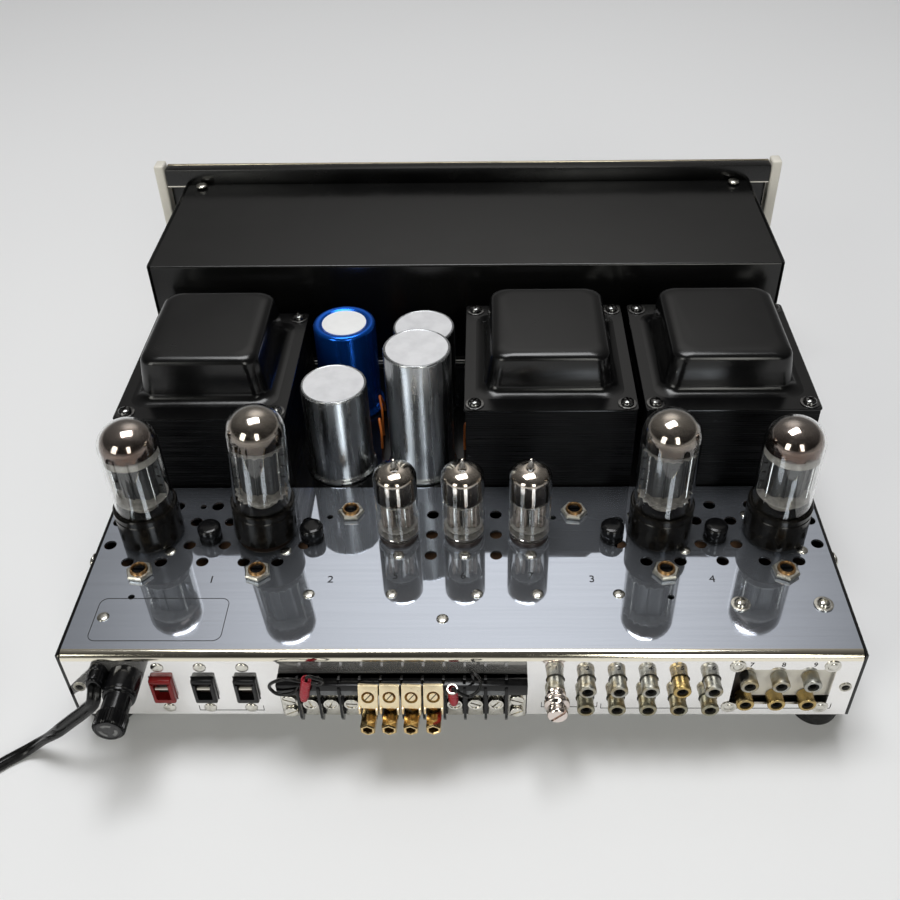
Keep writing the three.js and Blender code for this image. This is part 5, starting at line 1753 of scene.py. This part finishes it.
def knobs():
    for name, x in knob_places.items():
        low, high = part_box(f"{name}_knob")
        radius = (high.x - low.x) / 2
        length = panel_low.y - low.y
        place = at(x, panel_low.y, (low.z + high.z) / 2) @ turn_front
        neck = knob_bore - plain_edge
        face = skirt_high + small_edge
        skirt = [(0, -shaft_end), (neck, -shaft_end), (neck, skirt_low), (radius, skirt_low)]
        skirt += [(radius, skirt_high), (radius - skirt_bevel, face), (0, face)]
        form = Form().add(turned(rounded(skirt, plain_edge, 3), fine_sides), champagne_turned, place)
        grip = radius - skirt_bevel - 2 * hair
        low, high = skirt_high + hair_edge, length * grip_high_share
        form.add(fluted(grip, flute_depth, flute_count, low, high, plain_edge), champagne_turned, place)
        start, crown_radius = length * crown_low_share, grip - thin_edge
        crown = [(0, start), (crown_radius, start), (crown_radius, length - crown_drop)]
        crown += [*inset_points(grip, length, crown_rim), (0, length - soft_edge)]
        form.add(turned(rounded(crown, wide_edge), fine_sides), champagne_turned, place)
        line = block(pointer_width, grip * pointer_share, thin_edge)
        spot = at(0, grip * pointer_place_share, length - thin_edge - hair)
        form.add(line, black_ink, place @ spot)
        stands_for = (f"{name}_knob",)
        form.piece(f"{name}_knob_turned", rides=name, stands_for=stands_for, slot="champagne_aluminium")


def power_lever():
    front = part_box("power_switch")[0].y
    x, z = middle_of("power_switch").xz
    form = Form().add(block(*switch_plate, plain_edge), black_plastic, at(x, switch_plate_y, z))
    depth = switch_plate_y - front
    lever = block(lever_width, depth, lever_height, wide_edge, 3)
    form.add(lever, black_plastic, at(x, front + depth / 2, z))
    rib = block(*lever_rib, hair_edge)
    for k in range(4):
        form.add(rib, dark_plastic, at(x + lever_rib_pitch * (k - 1.5), front + hair_edge, z))
    form.piece("power_switch_lever", rides="power_slide", stands_for=("power_switch",), slot="black_plastic")


def numeral(form, text, size, place):
    """A plain number as a thin raised print."""
    data = bpy.data.curves.new("numeral", "FONT")
    data.body = text
    data.size = size
    data.extrude = hair
    data.align_x = "CENTER"
    data.align_y = "CENTER"
    ob = bpy.data.objects.new("numeral", data)
    bpy.context.scene.collection.objects.link(ob)
    view = bpy.context.evaluated_depsgraph_get()
    mesh = bpy.data.meshes.new_from_object(ob.evaluated_get(view))
    bm = bmesh.new()
    bm.from_mesh(mesh)
    bmesh.ops.remove_doubles(bm, verts=bm.verts, dist=hair / 100)
    shape = shape_of(bm)
    bm.free()
    bpy.data.objects.remove(ob)
    bpy.data.meshes.remove(mesh)
    form.add(shape, black_ink, place)


def dial_marks():
    form = Form()
    tick = block(*tick_size)
    for name, x in knob_places.items():
        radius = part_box(f"{name}_knob")[1].x - x
        sweep, count, first = (180, 5, 1) if name == "selector" else (300, 11, 0)
        for k in range(count):
            angle = math.radians(90 + sweep / 2 - sweep * k / (count - 1))

            def spot(reach):
                across, rise = (radius + reach) * math.cos(angle), (radius + reach) * math.sin(angle)
                return at(x + across, panel_low.y - hair, knob_z + rise)

            form.add(tick, black_ink, spot(tick_reach) @ spin(-angle, "Y"))
            numeral(form, str(k + first), mark_height, spot(mark_reach) @ turn_front)
    form.piece("dial_marks")


preamp_cover()
front_panel()
end_caps()
knobs()
power_lever()
dial_marks()


# Feet
foot_bore = 0.0045
foot_bore_depth = 0.0016
foot_rim = 0.005
foot_bevel = 0.003
foot_belly_inset = 0.0018
foot_belly = 0.006
foot_edge = 0.0012
foot_waist_share = 0.6


def feet():
    for name in ("front_left", "front_right", "rear_left", "rear_right"):
        low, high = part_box(f"foot_{name}")
        middle = (low + high) / 2
        radius, height = (high.x - low.x) / 2, high.z - low.z
        profile = [(0, foot_bore_depth), (foot_bore, foot_bore_depth), (foot_rim, 0)]
        profile += [(radius - foot_bevel, 0), (radius - foot_belly_inset, foot_belly)]
        profile += [(radius, height * foot_waist_share), (radius, height), (0, height)]
        shape = turned(rounded(profile, foot_edge), fine_sides)
        form = Form().add(shape, rubber, at(middle.x, middle.y, low.z))
        form.piece(f"foot_{name}_rubber", stands_for=(f"foot_{name}",), slot="black_rubber")


feet()


# Rear face: outlets, fuse, terminals and jacks
outlet_reach = 0.003
outlet_root = 0.012
outlet_mouth = (0.0068, 0.009, 0.0106)
outlet_mouth_sink = 0.0039
outlet_sill = (0.0086, 0.003, 0.002)
outlet_sill_rise = 0.0061
outlet_bar = (0.006, 0.0012, 0.0011)
outlet_bar_rise = 0.0019
outlet_flange_height = 0.037
outlet_flange_thickness = 0.001
outlet_rivet_shift = 0.015
outlet_rivet = (0.003, 0.0011)
outlet_edge = 0.0009


def outlets():
    rivet = turned(dome_profile(*outlet_rivet), small_sides)
    reach, depth = outlet_reach, outlet_reach + outlet_root
    shell = block(outlet_width, depth, outlet_height, outlet_edge, 3)
    shell = moved(shell, at(0, reach - depth / 2, 0))
    mouth = moved(block(*outlet_mouth, soft_edge), at(0, reach - outlet_mouth_sink, 0))
    sill = moved(block(*outlet_sill, plain_edge), at(0, reach + soft_edge, outlet_sill_rise))
    shape = carved(carved(shell, [mouth]), [sill])
    bar = block(*outlet_bar, hair_edge)
    thick = outlet_flange_thickness
    flange = block(outlet_width, thick, outlet_flange_height, hair_edge)
    for k, x in enumerate(outlet_x):
        look, slot = (red_plastic, "red_plastic") if k == 0 else (black_plastic, "black_plastic")
        place = at(x, rear_y, outlet_z)
        form = Form().add(shape, look, place)
        form.add(bar, cream, place @ at(0, reach - outlet_bar[1], outlet_bar_rise))
        form.add(flange, dark_phenolic, place @ at(0, -sheet - fit_gap - thick / 2, 0))
        for side in (-1, 1):
            form.add(rivet, nickel, on_rear(x, outlet_z + side * outlet_rivet_shift, hair))
        form.piece(f"ac_outlet_{k + 1}_moulding", stands_for=(f"ac_outlet_{k + 1}",), slot=slot)


fuse_bore = 0.0036
fuse_root = 0.0135
fuse_flange = 0.0076
fuse_flange_reach = 0.0135
fuse_collar_reach = 0.0223
fuse_groove = [(0, 0.0025), (0.0004, 0.002), (0, 0.0015), (0.0003, 0)]
fuse_nut_radius = 0.0088
fuse_nut_reach = (-0.0045, -0.0015)
fuse_cap_radius = 0.0073
fuse_cap_reach = (0.0226, 0.0306)
fuse_stem_reach = 0.0193
fuse_cap_inset = 0.0011
fuse_cap_bevel = 0.0009
fuse_face_inset = 0.001
fuse_cap_teeth = 34
fuse_arc_radii = (0.0028, 0.0042)
fuse_arc_sweep = math.radians(74)


def arc_outline(inner, outer, sweep, steps=12):
    angles = [sweep * k / steps for k in range(steps + 1)]
    outside = [(outer * math.cos(angle), outer * math.sin(angle)) for angle in angles]
    inside = [(inner * math.cos(angle), inner * math.sin(angle)) for angle in reversed(angles)]
    return outside + inside


def fuse():
    place = on_rear(fuse_x, fuse_z)
    bore, body_radius, reach = fuse_bore, fuse_body_radius, fuse_flange_reach
    profile = [(bore, plain_edge), (bore, -fuse_root), (body_radius, -fuse_root), (body_radius, fit_gap)]
    profile += [(fuse_flange, fit_gap), *inset_points(fuse_flange, reach, fuse_groove)]
    profile += [(body_radius, reach), (body_radius, fuse_collar_reach), (bore, fuse_collar_reach)]
    shape = turned(rounded(profile, small_edge, 3, True), fine_sides, True)
    form = Form().add(shape, black_plastic, place)
    form.add(sleeve(body_radius + hair, fuse_nut_radius, *fuse_nut_reach, 0, 6), nickel, place)
    form.piece("fuse_holder_moulding", stands_for=("fuse_holder",), slot="black_plastic")
    start, end = fuse_cap_reach
    stem_radius, radius, low = bore - fit_gap, fuse_cap_radius - fuse_cap_inset, end - small_edge
    stem = [(0, fuse_stem_reach), (stem_radius, fuse_stem_reach), (stem_radius, start), (radius, start)]
    stem += [(radius, end), (radius - fuse_cap_bevel, end), (radius - fuse_cap_inset, low), (0, low)]
    cap = Form().add(turned(stem, fine_sides), black_plastic, place)
    grip = fluted(fuse_cap_radius, soft_edge, fuse_cap_teeth, start, end - soft_edge, plain_edge)
    cap.add(grip, black_plastic, place)
    cap.add(rod(radius - fuse_face_inset, end - soft_edge, end - hair_edge), dark_plastic, place)
    arc = prism(arc_outline(*fuse_arc_radii, fuse_arc_sweep), 0, hair * 3)
    for k in range(3):
        cap.add(arc, worn_print, place @ at(0, 0, end - hair_edge) @ spin(k * math.tau / 3))
    cap.piece("fuse_cap_knurled", rides="fuse_carrier", stands_for=("fuse_cap",), slot="black_plastic")


strip_pitch = 0.00953
strip_first_fin = 0.0739
strip_count = 10
strip_top = deck_top - 0.012
strip_ridge = deck_top - 0.0194
strip_bottom = deck_top - 0.0388
strip_screw_z = deck_top - 0.027
ear_width = 0.0096
ear_screw_shift = 0.0044
ear_half = 0.0042
ear_reach = 0.0047
ear_screw = (0.0033, 0.002)
ear_turns = ((-1, 0.5), (1, -0.4))
base_reach = 0.0035
ridge_reach = 0.0073
# Size of the painted reflection bands on the ridge.
reflection_band_half = 0.0041
reflection_band_rise = 0.0036
pad_half = 0.0036
pad_reach = 0.0043
pad_screw = (0.0036, 0.0022)
pad_rim = (0.0037, 0.0026, 0.0026)
fin_half = 0.0006
fin_reach = 0.0082
fin_edge = 0.0011
# Reach and rise over the strip's top, then over its bottom
fin_top = [(0.0003, -0.0006), (0.0052, 0.0022), (fin_reach, -0.0025)]
fin_bottom = [(fin_reach, 0.0035), (0.006, -0.0012), (0.0003, 0.001)]
post_terminals = (3, 4, 5, 6)


def terminal_x(k):
    return strip_first_fin - (k + 0.5) * strip_pitch


def fin_outline():
    outline = [(reach, strip_top + rise) for reach, rise in fin_top]
    outline += [(reach, strip_bottom + rise) for reach, rise in fin_bottom]
    return rounded(outline, fin_edge, 4, True)


def terminal_strip():
    left = strip_first_fin - strip_count * strip_pitch - ear_width
    right = strip_first_fin + ear_width
    top, ridge, bottom = strip_top, strip_ridge, strip_bottom
    form = Form()

    def slab(x0, x1, reach0, reach1, z0, z1, look, edge=small_edge):
        shape = block(x1 - x0, reach1 - reach0, z1 - z0, edge)
        form.add(shape, look, at((x0 + x1) / 2, rear_y + (reach0 + reach1) / 2, (z0 + z1) / 2))

    slab(left, right, fit_gap, base_reach, bottom, top, black_plastic)
    slab(left, right, fit_gap, ridge_reach, ridge, top, strip_black)
    for k in range(strip_count):
        # Grey bands on the lower front of the ridge, one at each terminal: painted reflection.
        x = terminal_x(k)
        near, far = ridge_reach - plain_edge, ridge_reach + hair_edge
        low, high = ridge + hair_edge, ridge + reflection_band_rise
        slab(x - reflection_band_half, x + reflection_band_half, near, far, low, high, ridge_painted_reflection, thin_edge)
    outline = fin_outline()
    for k in range(strip_count + 1):
        x = strip_first_fin - k * strip_pitch
        fin = lofted([[(x + dx, rear_y + reach, z) for reach, z in outline] for dx in (-fin_half, fin_half)])
        form.add(fin, strip_black)
    screw = slotted_head(*pad_screw)
    rim = ring_shape(*pad_rim)
    for k in range(strip_count):
        x = terminal_x(k)
        low, high = bottom + plain_edge, ridge - plain_edge
        slab(x - pad_half, x + pad_half, base_reach, pad_reach, low, high, nickel, thin_edge)
        if k not in post_terminals:
            place = on_rear(x, strip_screw_z, pad_reach)
            form.add(screw, nickel, place @ spin(random.uniform(0, math.pi)))
            form.add(rim, nickel, place)
    screw = slotted_head(*ear_screw)
    for x in (left + ear_width / 2, right - ear_width / 2):
        low, high = bottom + thin_edge, ridge - thin_edge
        slab(x - ear_half, x + ear_half, base_reach, ear_reach, low, high, nickel, thin_edge)
        for side, turn in ear_turns:
            z = (ridge + bottom) / 2 + side * ear_screw_shift
            form.add(screw, nickel, on_rear(x, z, ear_reach - 2 * hair) @ spin(turn))
    form.piece("terminal_strip_fitted", stands_for=("terminal_strip",), slot="black_plastic")


# Link wires: the sleeve's foot and head, then the wire, as shifts in X, reach and drop from the deck
first_link = [
    (0.002, 0.0085, 0.0205),
    (-0.0012, 0.0102, 0.0035),
    (-0.0022, 0.0106, 0.0012),
    (-0.005, 0.0106, 0.0022),
    (-0.0082, 0.0098, 0.0052),
    (-0.0065, 0.0085, 0.0092),
    (-0.001, 0.0088, 0.008),
    (0.008, 0.0098, 0.0042),
    (0.0145, 0.009, 0.0075),
    (0.0168, 0.008, 0.0125),
    (0.0135, 0.0086, 0.0165),
    (0.006, 0.0086, 0.0152),
    (0.0035, 0.006, 0.0125),
]
second_link = [
    (0.0002, 0.0085, 0.0235),
    (0.0006, 0.0112, 0.0095),
    (-0.0002, 0.0122, 0.0078),
    (-0.003, 0.0132, 0.0098),
    (-0.0072, 0.0126, 0.0128),
    (-0.0022 - strip_pitch, 0.011, 0.009),
    (-0.002 - strip_pitch, 0.0085, 0.0052),
    (0.0012 - strip_pitch, 0.006, 0.0045),
    (0.0006 - strip_pitch, 0.0052, 0.0098),
]
link_radius = 0.0008
link_step = 0.0009
link_sleeve_radius = 0.0023


def link_wire(form, x, points):
    points = [Vector((x + shift, rear_y + reach, deck_top - drop)) for shift, reach, drop in points]
    foot, head, *wire = points
    run = head - foot
    turn = run.to_track_quat("Z", "Y").to_matrix().to_4x4()
    radius, length = link_sleeve_radius, run.length
    mouth = length - 0.0012
    profile = [(0, 0), (radius * 0.75, 0), (radius, length * 0.25), (radius, length - hair_edge)]
    profile += [(radius * 0.72, length), (radius * 0.62, mouth), (0, mouth)]
    form.add(turned(rounded(profile, small_edge, 3), small_sides), red_sleeve, at(*foot) @ turn)
    form.add(tube_along(smooth_path([head - run * 0.1, *wire], link_step), link_radius), cord_black)


def strip_wires():
    form = Form()
    eighth = terminal_x(7)
    link_wire(form, terminal_x(0), first_link)
    link_wire(form, eighth, second_link)
    shift, reach, drop = second_link[1]
    place = at(eighth + shift, rear_y + reach, deck_top - drop - small_edge)
    form.add(ring_shape(0.0026, 0.0017, 0.0012), nickel, place @ spin(-0.2, "X"))
    form.piece("link_wires")


post_turns = [4, 3, 4, 1]
post_shift_shares = [0.03, 0.03, -0.02, -0.04]
post_tilt = math.radians(18)
post_pivot = rear_y + 0.0082
post_swing = 0.0045
post_back = 0.0085
post_thickness = 0.0018
post_width = 0.009
post_top = deck_top - 0.0085
post_bottom = deck_top - 0.0208
post_sink_z = deck_top - 0.0148
post_tube_z = deck_top - 0.0279
post_head_depth = 0.0009
post_head_turn = 0.9
post_web_width = 0.0046
post_web_reach = 0.0046
post_web_top = deck_top - 0.0197
post_hexagon = 0.0066 / math.sqrt(3)
post_bore = 0.0023
post_bore_floor = 0.011
post_tube_reach = 0.02


def post_plate(form, place):
    """The leaning plate with its countersunk screw."""
    front = post_back + post_thickness
    lean = at(0, rear_y + post_back, post_top) @ spin(post_tilt, "X") @ at(0, -rear_y - post_back, -post_top)
    leaning = place @ lean
    plate = block(post_width, post_thickness, post_top - post_bottom, thin_edge)
    plate = moved(plate, at(0, rear_y + post_back + post_thickness / 2, (post_top + post_bottom) / 2))
    sink = turned([(0, -0.0014), (0.0021, -0.0014), (0.0031, hair * 4), (0, hair * 4)], round_sides)
    form.add(carved(plate, [moved(sink, on_rear(0, post_sink_z, front))]), pale_gold, leaning)
    # A dark ring lining the countersink: painted shade in the recess round the screw.
    rim = turned([(0.0019, -0.0012), (0.003, 0), (0.003, hair), (0.0019, -0.0011)], round_sides, True)
    form.add(rim, painted_recess_shade, leaning @ on_rear(0, post_sink_z, front + hair))
    screw_place = leaning @ on_rear(0, post_sink_z, front - post_head_depth) @ spin(post_head_turn)
    form.add(slotted_head(0.002, post_head_depth), pale_gold, screw_place)
    # A dark bar in the screw's slot: painted shade in the slot.
    form.add(block(0.0038, 0.0006, 0.0002), painted_hole_shade, screw_place @ at(0, 0, 0.00055))


def post_tube(form, place):
    """The web and wings behind the plate, and the hexagonal tube under it."""
    front = post_back + post_thickness
    web = block(post_web_width, front - post_web_reach, post_web_top - post_tube_z, thin_edge)
    spot = at(0, rear_y + (front + post_web_reach) / 2, (post_web_top + post_tube_z) / 2)
    form.add(web, gold, place @ spot)
    wing = block(0.001, 0.0036, 0.0042, thin_edge)
    for side in (-1, 1):
        spot = at(side * 0.0039, rear_y + post_back + 0.0045, post_bottom - small_edge)
        form.add(wing, pale_gold, place @ spot)
    hexagon, bore, reach, floor = post_hexagon, post_bore, post_tube_reach, post_bore_floor
    tube = [(0, post_back), (hexagon, post_back), (hexagon, reach - soft_edge), (hexagon - plain_edge, reach)]
    tube += [(bore + small_edge, reach), (bore, reach - small_edge), (bore, floor), (0, floor)]
    form.add(turned(tube, 6), gold, place @ on_rear(0, post_tube_z) @ spin(math.radians(30)))
    # A dark lining in the tube's bore: painted shade inside the bore.
    low, high, mouth, wall = floor + hair_edge, floor + soft_edge, reach - wide_edge, bore + hair_edge
    post_bore_shade = [(0, low), (wall, low), (wall, mouth), (bore, mouth), (bore, high), (0, high)]
    form.add(turned(post_bore_shade, round_sides), painted_hole_shade, place @ on_rear(0, post_tube_z))


def speaker_posts():
    for k, (turn, shift) in enumerate(zip(post_turns, post_shift_shares)):
        angle = math.radians(turn)
        x = terminal_x(post_terminals[k]) + shift * strip_pitch
        swing = post_swing * math.sin(angle)
        place = at(x, post_pivot + swing, 0) @ spin(-angle) @ at(0, -post_pivot, 0)
        form = Form()
        post_plate(form, place)
        post_tube(form, place)
        name = f"speaker_post_{k + 1}"
        form.piece(f"{name}_plated", stands_for=(name,), slot="gold_plate")


jack_bore = 0.0026
jack_root = 0.0025
jack_core = 0.0016
jack_reach = 0.0074
side_jack_reach = 0.0044
jack_board_margin = 0.0061
jack_board_thickness = 0.0016
jack_board_y = rear_y - sheet - 0.0011
side_board_y = jack_board_y - 0.003
# Insets from the radius and drops from the tip
jack_step = [(0.0002, 0.0026), (0, 0.0024), (0, 0.0004), (0.0004, 0)]
jack_bore_depth = 0.0055
jack_core_depth = 0.0054
jack_core_drop = 0.0009
brass_jack = (4, 0)
side_plate_shift = (-0.006, 0.0018, 0.0036)
side_plate_inset = 0.0012
side_plate_thickness = 0.0008
adaptor_profile = [
    (0, 0.0074),
    (0.0044, 0.0074),
    (0.0044, 0.0096),
    (0.0038, 0.01),
    (0.0038, 0.0114),
    (0.0052, 0.0117),
    (0.0058, 0.0122),
    (0.0058, 0.0144),
    (0.005, 0.015),
    (0.0042, 0.0156),
    (0.0042, 0.0172),
    (0.0047, 0.0176),
    (0.0047, 0.0196),
    (0.004, 0.0204),
    (0, 0.0204),
]
adaptor_slot = (0.012, 0.0013, 0.0032)


def jack_barrel(tip):
    bore, floor = jack_bore, tip - jack_bore_depth
    profile = [(0, -jack_root), (jack_radius - hair_edge, -jack_root)]
    profile += inset_points(jack_radius, tip, jack_step)
    profile += [(bore, tip), (bore, floor), (0, floor)]
    # A dark sleeve inside the bore: painted shade in the jack's bore.
    jack_bore_shade = sleeve(jack_core, bore - hair, tip - jack_core_depth, tip - jack_core_drop, 0)
    return turned(rounded(profile, hair_edge, 2), round_sides), jack_bore_shade


def add_jack(form, shapes, look, x, z):
    form.add(shapes[0], look, on_rear(x, z))
    # The second shape is the painted shade in the bore.
    form.add(shapes[1], painted_hole_shade, on_rear(x, z))


def phono_jacks():
    height = jack_z[0] - jack_z[1] + 2 * jack_board_margin
    middle_z = sum(jack_z) / 2
    width = jack_x[0] - jack_x[-1] + 2 * jack_board_margin
    board = block(width, jack_board_thickness, height, hair_edge)
    form = Form().add(board, dark_phenolic, at((jack_x[0] + jack_x[-1]) / 2, jack_board_y, middle_z))
    shapes = jack_barrel(jack_reach)
    for k, x in enumerate(jack_x):
        for row, z in enumerate(jack_z):
            look = jack_brass if (k, row) == brass_jack else (jack_nickel, jack_olive)[row]
            add_jack(form, shapes, look, x, z)
    slot = moved(block(*adaptor_slot), at(0, 0, adaptor_profile[-1][1]))
    adaptor = carved(turned(rounded(adaptor_profile, thin_edge, 3), round_sides), [slot])
    form.add(adaptor, plug_chrome, on_rear(jack_x[0], jack_z[0]) @ spin(0.8))
    form.piece("phono_jack_board_fitted", stands_for=("phono_jack_board",), slot="nickel_plate")


def side_phono_jacks():
    height = jack_z[0] - jack_z[1] + 2 * jack_board_margin
    middle_z = sum(jack_z) / 2
    width = side_jack_x[-1] - side_jack_x[0] + 2 * jack_board_margin
    board = block(width, jack_board_thickness, height, hair_edge)
    form = Form().add(board, dark_phenolic, at(side_jack_x[1], side_board_y - hair_edge, middle_z))
    plate = block(width, side_plate_thickness, height - side_plate_inset, hair_edge)
    shift, reach, rise = side_plate_shift
    form.add(plate, cream, at(side_jack_x[1] + shift, side_board_y + reach, middle_z + rise))
    shapes = jack_barrel(side_jack_reach)
    for x in side_jack_x:
        for look, z in zip((jack_nickel, jack_brass), jack_z):
            add_jack(form, shapes, look, x, z)
    form.piece("phono_jack_board_side_fitted", stands_for=("phono_jack_board_side",), slot="nickel_plate")


rear_screw_x = (-0.126, -0.1686)
rear_screw_drops = (0.0075, 0.0375)


def rear_fasteners():
    form = Form()
    ring = ring_shape(0.0037, 0.0022, 0.0005)
    dome = turned(dome_profile(0.0026, 0.0012), small_sides)
    for x in rear_screw_x:
        for drop in rear_screw_drops:
            form.add(ring, nickel, on_rear(x, deck_top - drop, hair))
            form.add(dome, nickel, on_rear(x, deck_top - drop, hair))
    eyelet = ring_shape(0.0028, eyelet_radius - 0.0002, 0.0005)
    # A dark disc behind each eyelet: painted shade in the hole.
    eyelet_shade = rod(eyelet_radius + soft_edge, -0.004, -0.0014, small_sides)
    for side in (-1, 1):
        form.add(eyelet, dull_nickel, on_rear(side * eyelet_x, eyelet_z, hair))
        form.add(eyelet_shade, painted_hole_shade, on_rear(side * eyelet_x, eyelet_z))
    form.piece("rear_rivets_and_eyelets", slot="nickel_plate")


# Prints: bracket lines from one X to another, with their drop from the deck
line_width = 0.0003
bracket_rise = 0.0035
brackets = [(0.1241, 0.0935, 0.0405), (-0.038, -0.0641, 0.0378), (-0.066, -0.1735, 0.0388)]
plate_line_width = 0.062
plate_line_length = 0.026
plate_line_corner = 0.004
plate_line_x = 0.1405
plate_line_back = 0.0215
valve_mark_shift = (0.036, 0.032)
valve_mark_height = 0.0062
driver_mark_shift = 0.0285
driver_mark_height = 0.0058
jack_mark_height = 0.004


def numerals(form):
    flat = spin(math.pi)
    across, along = valve_mark_shift
    for k, x in enumerate(valve_places.values()):
        spot = at(x - math.copysign(across, x), valve_y + along, deck_top + hair)
        numeral(form, str(k + 1), valve_mark_height, spot @ flat)
    for k, x in enumerate(driver_x):
        spot = at(x, driver_y + driver_mark_shift, deck_top + hair)
        numeral(form, str(k + 5), driver_mark_height, spot @ flat)
    rear = at(0, rear_y + hair, 0) @ flat @ turn_front
    jack_rows = [(x, jack_z[0] + 0.0085) for x in jack_x]
    jack_rows += [(x, window_z[1] + 0.0035) for x in reversed(side_jack_x)]
    for k, (x, z) in enumerate(jack_rows):
        numeral(form, str(k + 1), jack_mark_height, at(x, 0, z) @ rear)


def plate_line(form):
    """A thin plain outline on the deck."""
    outer = soft_rectangle(plate_line_width, plate_line_length, plate_line_corner)
    less = 2 * line_width
    inner = soft_rectangle(plate_line_width - less, plate_line_length - less, plate_line_corner - line_width)
    rings = [level(outer, 0), level(outer, hair * 2), level(inner, hair * 2), level(inner, 0)]
    place = at(plate_line_x, rear_y - plate_line_back, deck_top)
    form.add(lofted(rings, closed=True), black_ink, place)


def printed_marks():
    """Plain numbers and lines."""
    form = Form()
    numerals(form)
    plate_line(form)
    y = rear_y + hair
    upright = block(line_width, hair * 2, bracket_rise)
    for x0, x1, drop in brackets:
        z = deck_top - drop
        form.add(block(abs(x1 - x0), hair * 2, line_width), black_ink, at((x0 + x1) / 2, y, z))
        for x in (x0, x1):
            form.add(upright, black_ink, at(x, y, z + bracket_rise / 2))
    form.piece("plain_marks")


outlets()
fuse()
terminal_strip()
strip_wires()
speaker_posts()
phono_jacks()
side_phono_jacks()
rear_fasteners()
printed_marks()


# CAD nodes whose shape stays get their finish here
def dress(name, look):
    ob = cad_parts[name]
    ob.data.materials.clear()
    ob.data.materials.append(look)


dress("chassis_pan", chassis_black)
dress("bottom_cover", zinc)
dress("control_board", phenolic)
for name in transformer_names:
    dress(f"{name}_core", laminations)


# Floor and light
floor_size = 12
floor_color = (0.86, 0.86, 0.87)
floor_grain = 0.6
shade_share = 0.94


def make_floor():
    half = floor_size / 2
    corners = [(-half, -half, 0), (half, -half, 0), (half, half, 0), (-half, half, 0)]
    mesh = bpy.data.meshes.new("floor")
    mesh.from_pydata(corners, [], [[0, 1, 2, 3]])
    paper = Look("pale_paper", floor_color, 0.7)
    shade = tuple(c * shade_share for c in floor_color)
    paper.tint(paper.spread(paper.grain(floor_grain), 0.35, 0.7, 0, 0.25), shade)
    mesh.materials.append(paper.material)
    floor = bpy.data.objects.new("floor", mesh)
    bpy.context.scene.collection.objects.link(floor)


lamp_aim = (0, 0, 0.06)
window_color = (1, 1, 0.93)
ceiling_color = (0.98, 0.99, 1)
# Name, place, width, height, watts and colour
lamps = [
    ("window_left", (1.45, 1.75, 1.0), 0.75, 1.3, 15, window_color),
    ("window_right", (-0.62, 2.1, 1.15), 0.55, 1.3, 13, window_color),
    ("ceiling", (0.1, -0.25, 2.3), 1.3, 0.85, 34, ceiling_color),
]


def make_lamp(name, place, width, height, watts, color):
    data = bpy.data.lights.new(name, "AREA")
    data.shape = "RECTANGLE"
    data.size = width
    data.size_y = height
    data.energy = watts
    data.color = color
    lamp = bpy.data.objects.new(name, data)
    bpy.context.scene.collection.objects.link(lamp)
    run = Vector(lamp_aim) - Vector(place)
    lamp.matrix_world = at(*place) @ run.to_track_quat("-Z", "Y").to_matrix().to_4x4()


# The wall that the chrome deck mirrors is bright; the side behind the camera is dark above the horizon
wall_rise = math.radians(48)
sky_shares = [
    (0, 0.02),
    (0.5, 0.03),
    (0.7, 0.07),
    (0.86, 0.12),
    (0.95, 0.17),
    (0.967, 0.26),
    (0.978, 0.43),
    (0.99, 0.7),
    (1, 0.95),
]
sky_warmth = (1, 0.98, 0.95)
horizon_low = 0.06
horizon_high = 0.22
horizon_level = 0.4


def set_limits(node, **limits):
    for name, value in limits.items():
        node.inputs[name.replace("_", " ").title()].default_value = value


def make_world():
    world = bpy.data.worlds.new("studio")
    bpy.context.scene.world = world
    world.use_nodes = True
    nodes, links = world.node_tree.nodes, world.node_tree.links
    where = nodes.new("ShaderNodeTexCoord")
    aim = nodes.new("ShaderNodeVectorMath")
    aim.operation = "DOT_PRODUCT"
    aim.inputs[1].default_value = (0, -math.cos(wall_rise), math.sin(wall_rise))
    links.new(where.outputs["Generated"], aim.inputs[0])
    limits = nodes.new("ShaderNodeMapRange")
    set_limits(limits, from_min=-1)
    links.new(aim.outputs["Value"], limits.inputs["Value"])
    ramp = nodes.new("ShaderNodeValToRGB")
    colors = ramp.color_ramp.elements
    while len(colors) < len(sky_shares):
        colors.new(0.5)
    for stop, (place, brightness) in zip(colors, sky_shares):
        stop.position = place
        stop.color = (*(brightness * c for c in sky_warmth), 1)
    links.new(limits.outputs["Result"], ramp.inputs["Fac"])
    axes = nodes.new("ShaderNodeSeparateXYZ")
    links.new(where.outputs["Generated"], axes.inputs["Vector"])
    band = nodes.new("ShaderNodeMapRange")
    set_limits(band, from_min=horizon_low, from_max=horizon_high, to_min=horizon_level, to_max=0)
    links.new(axes.outputs["Z"], band.inputs["Value"])
    brighter = nodes.new("ShaderNodeVectorMath")
    brighter.operation = "MAXIMUM"
    links.new(ramp.outputs["Color"], brighter.inputs[0])
    links.new(band.outputs["Result"], brighter.inputs[1])
    links.new(brighter.outputs["Vector"], nodes["Background"].inputs["Color"])


make_floor()
make_world()
for lamp in lamps:
    make_lamp(*lamp)

bpy.context.scene.view_settings.view_transform = "Standard"
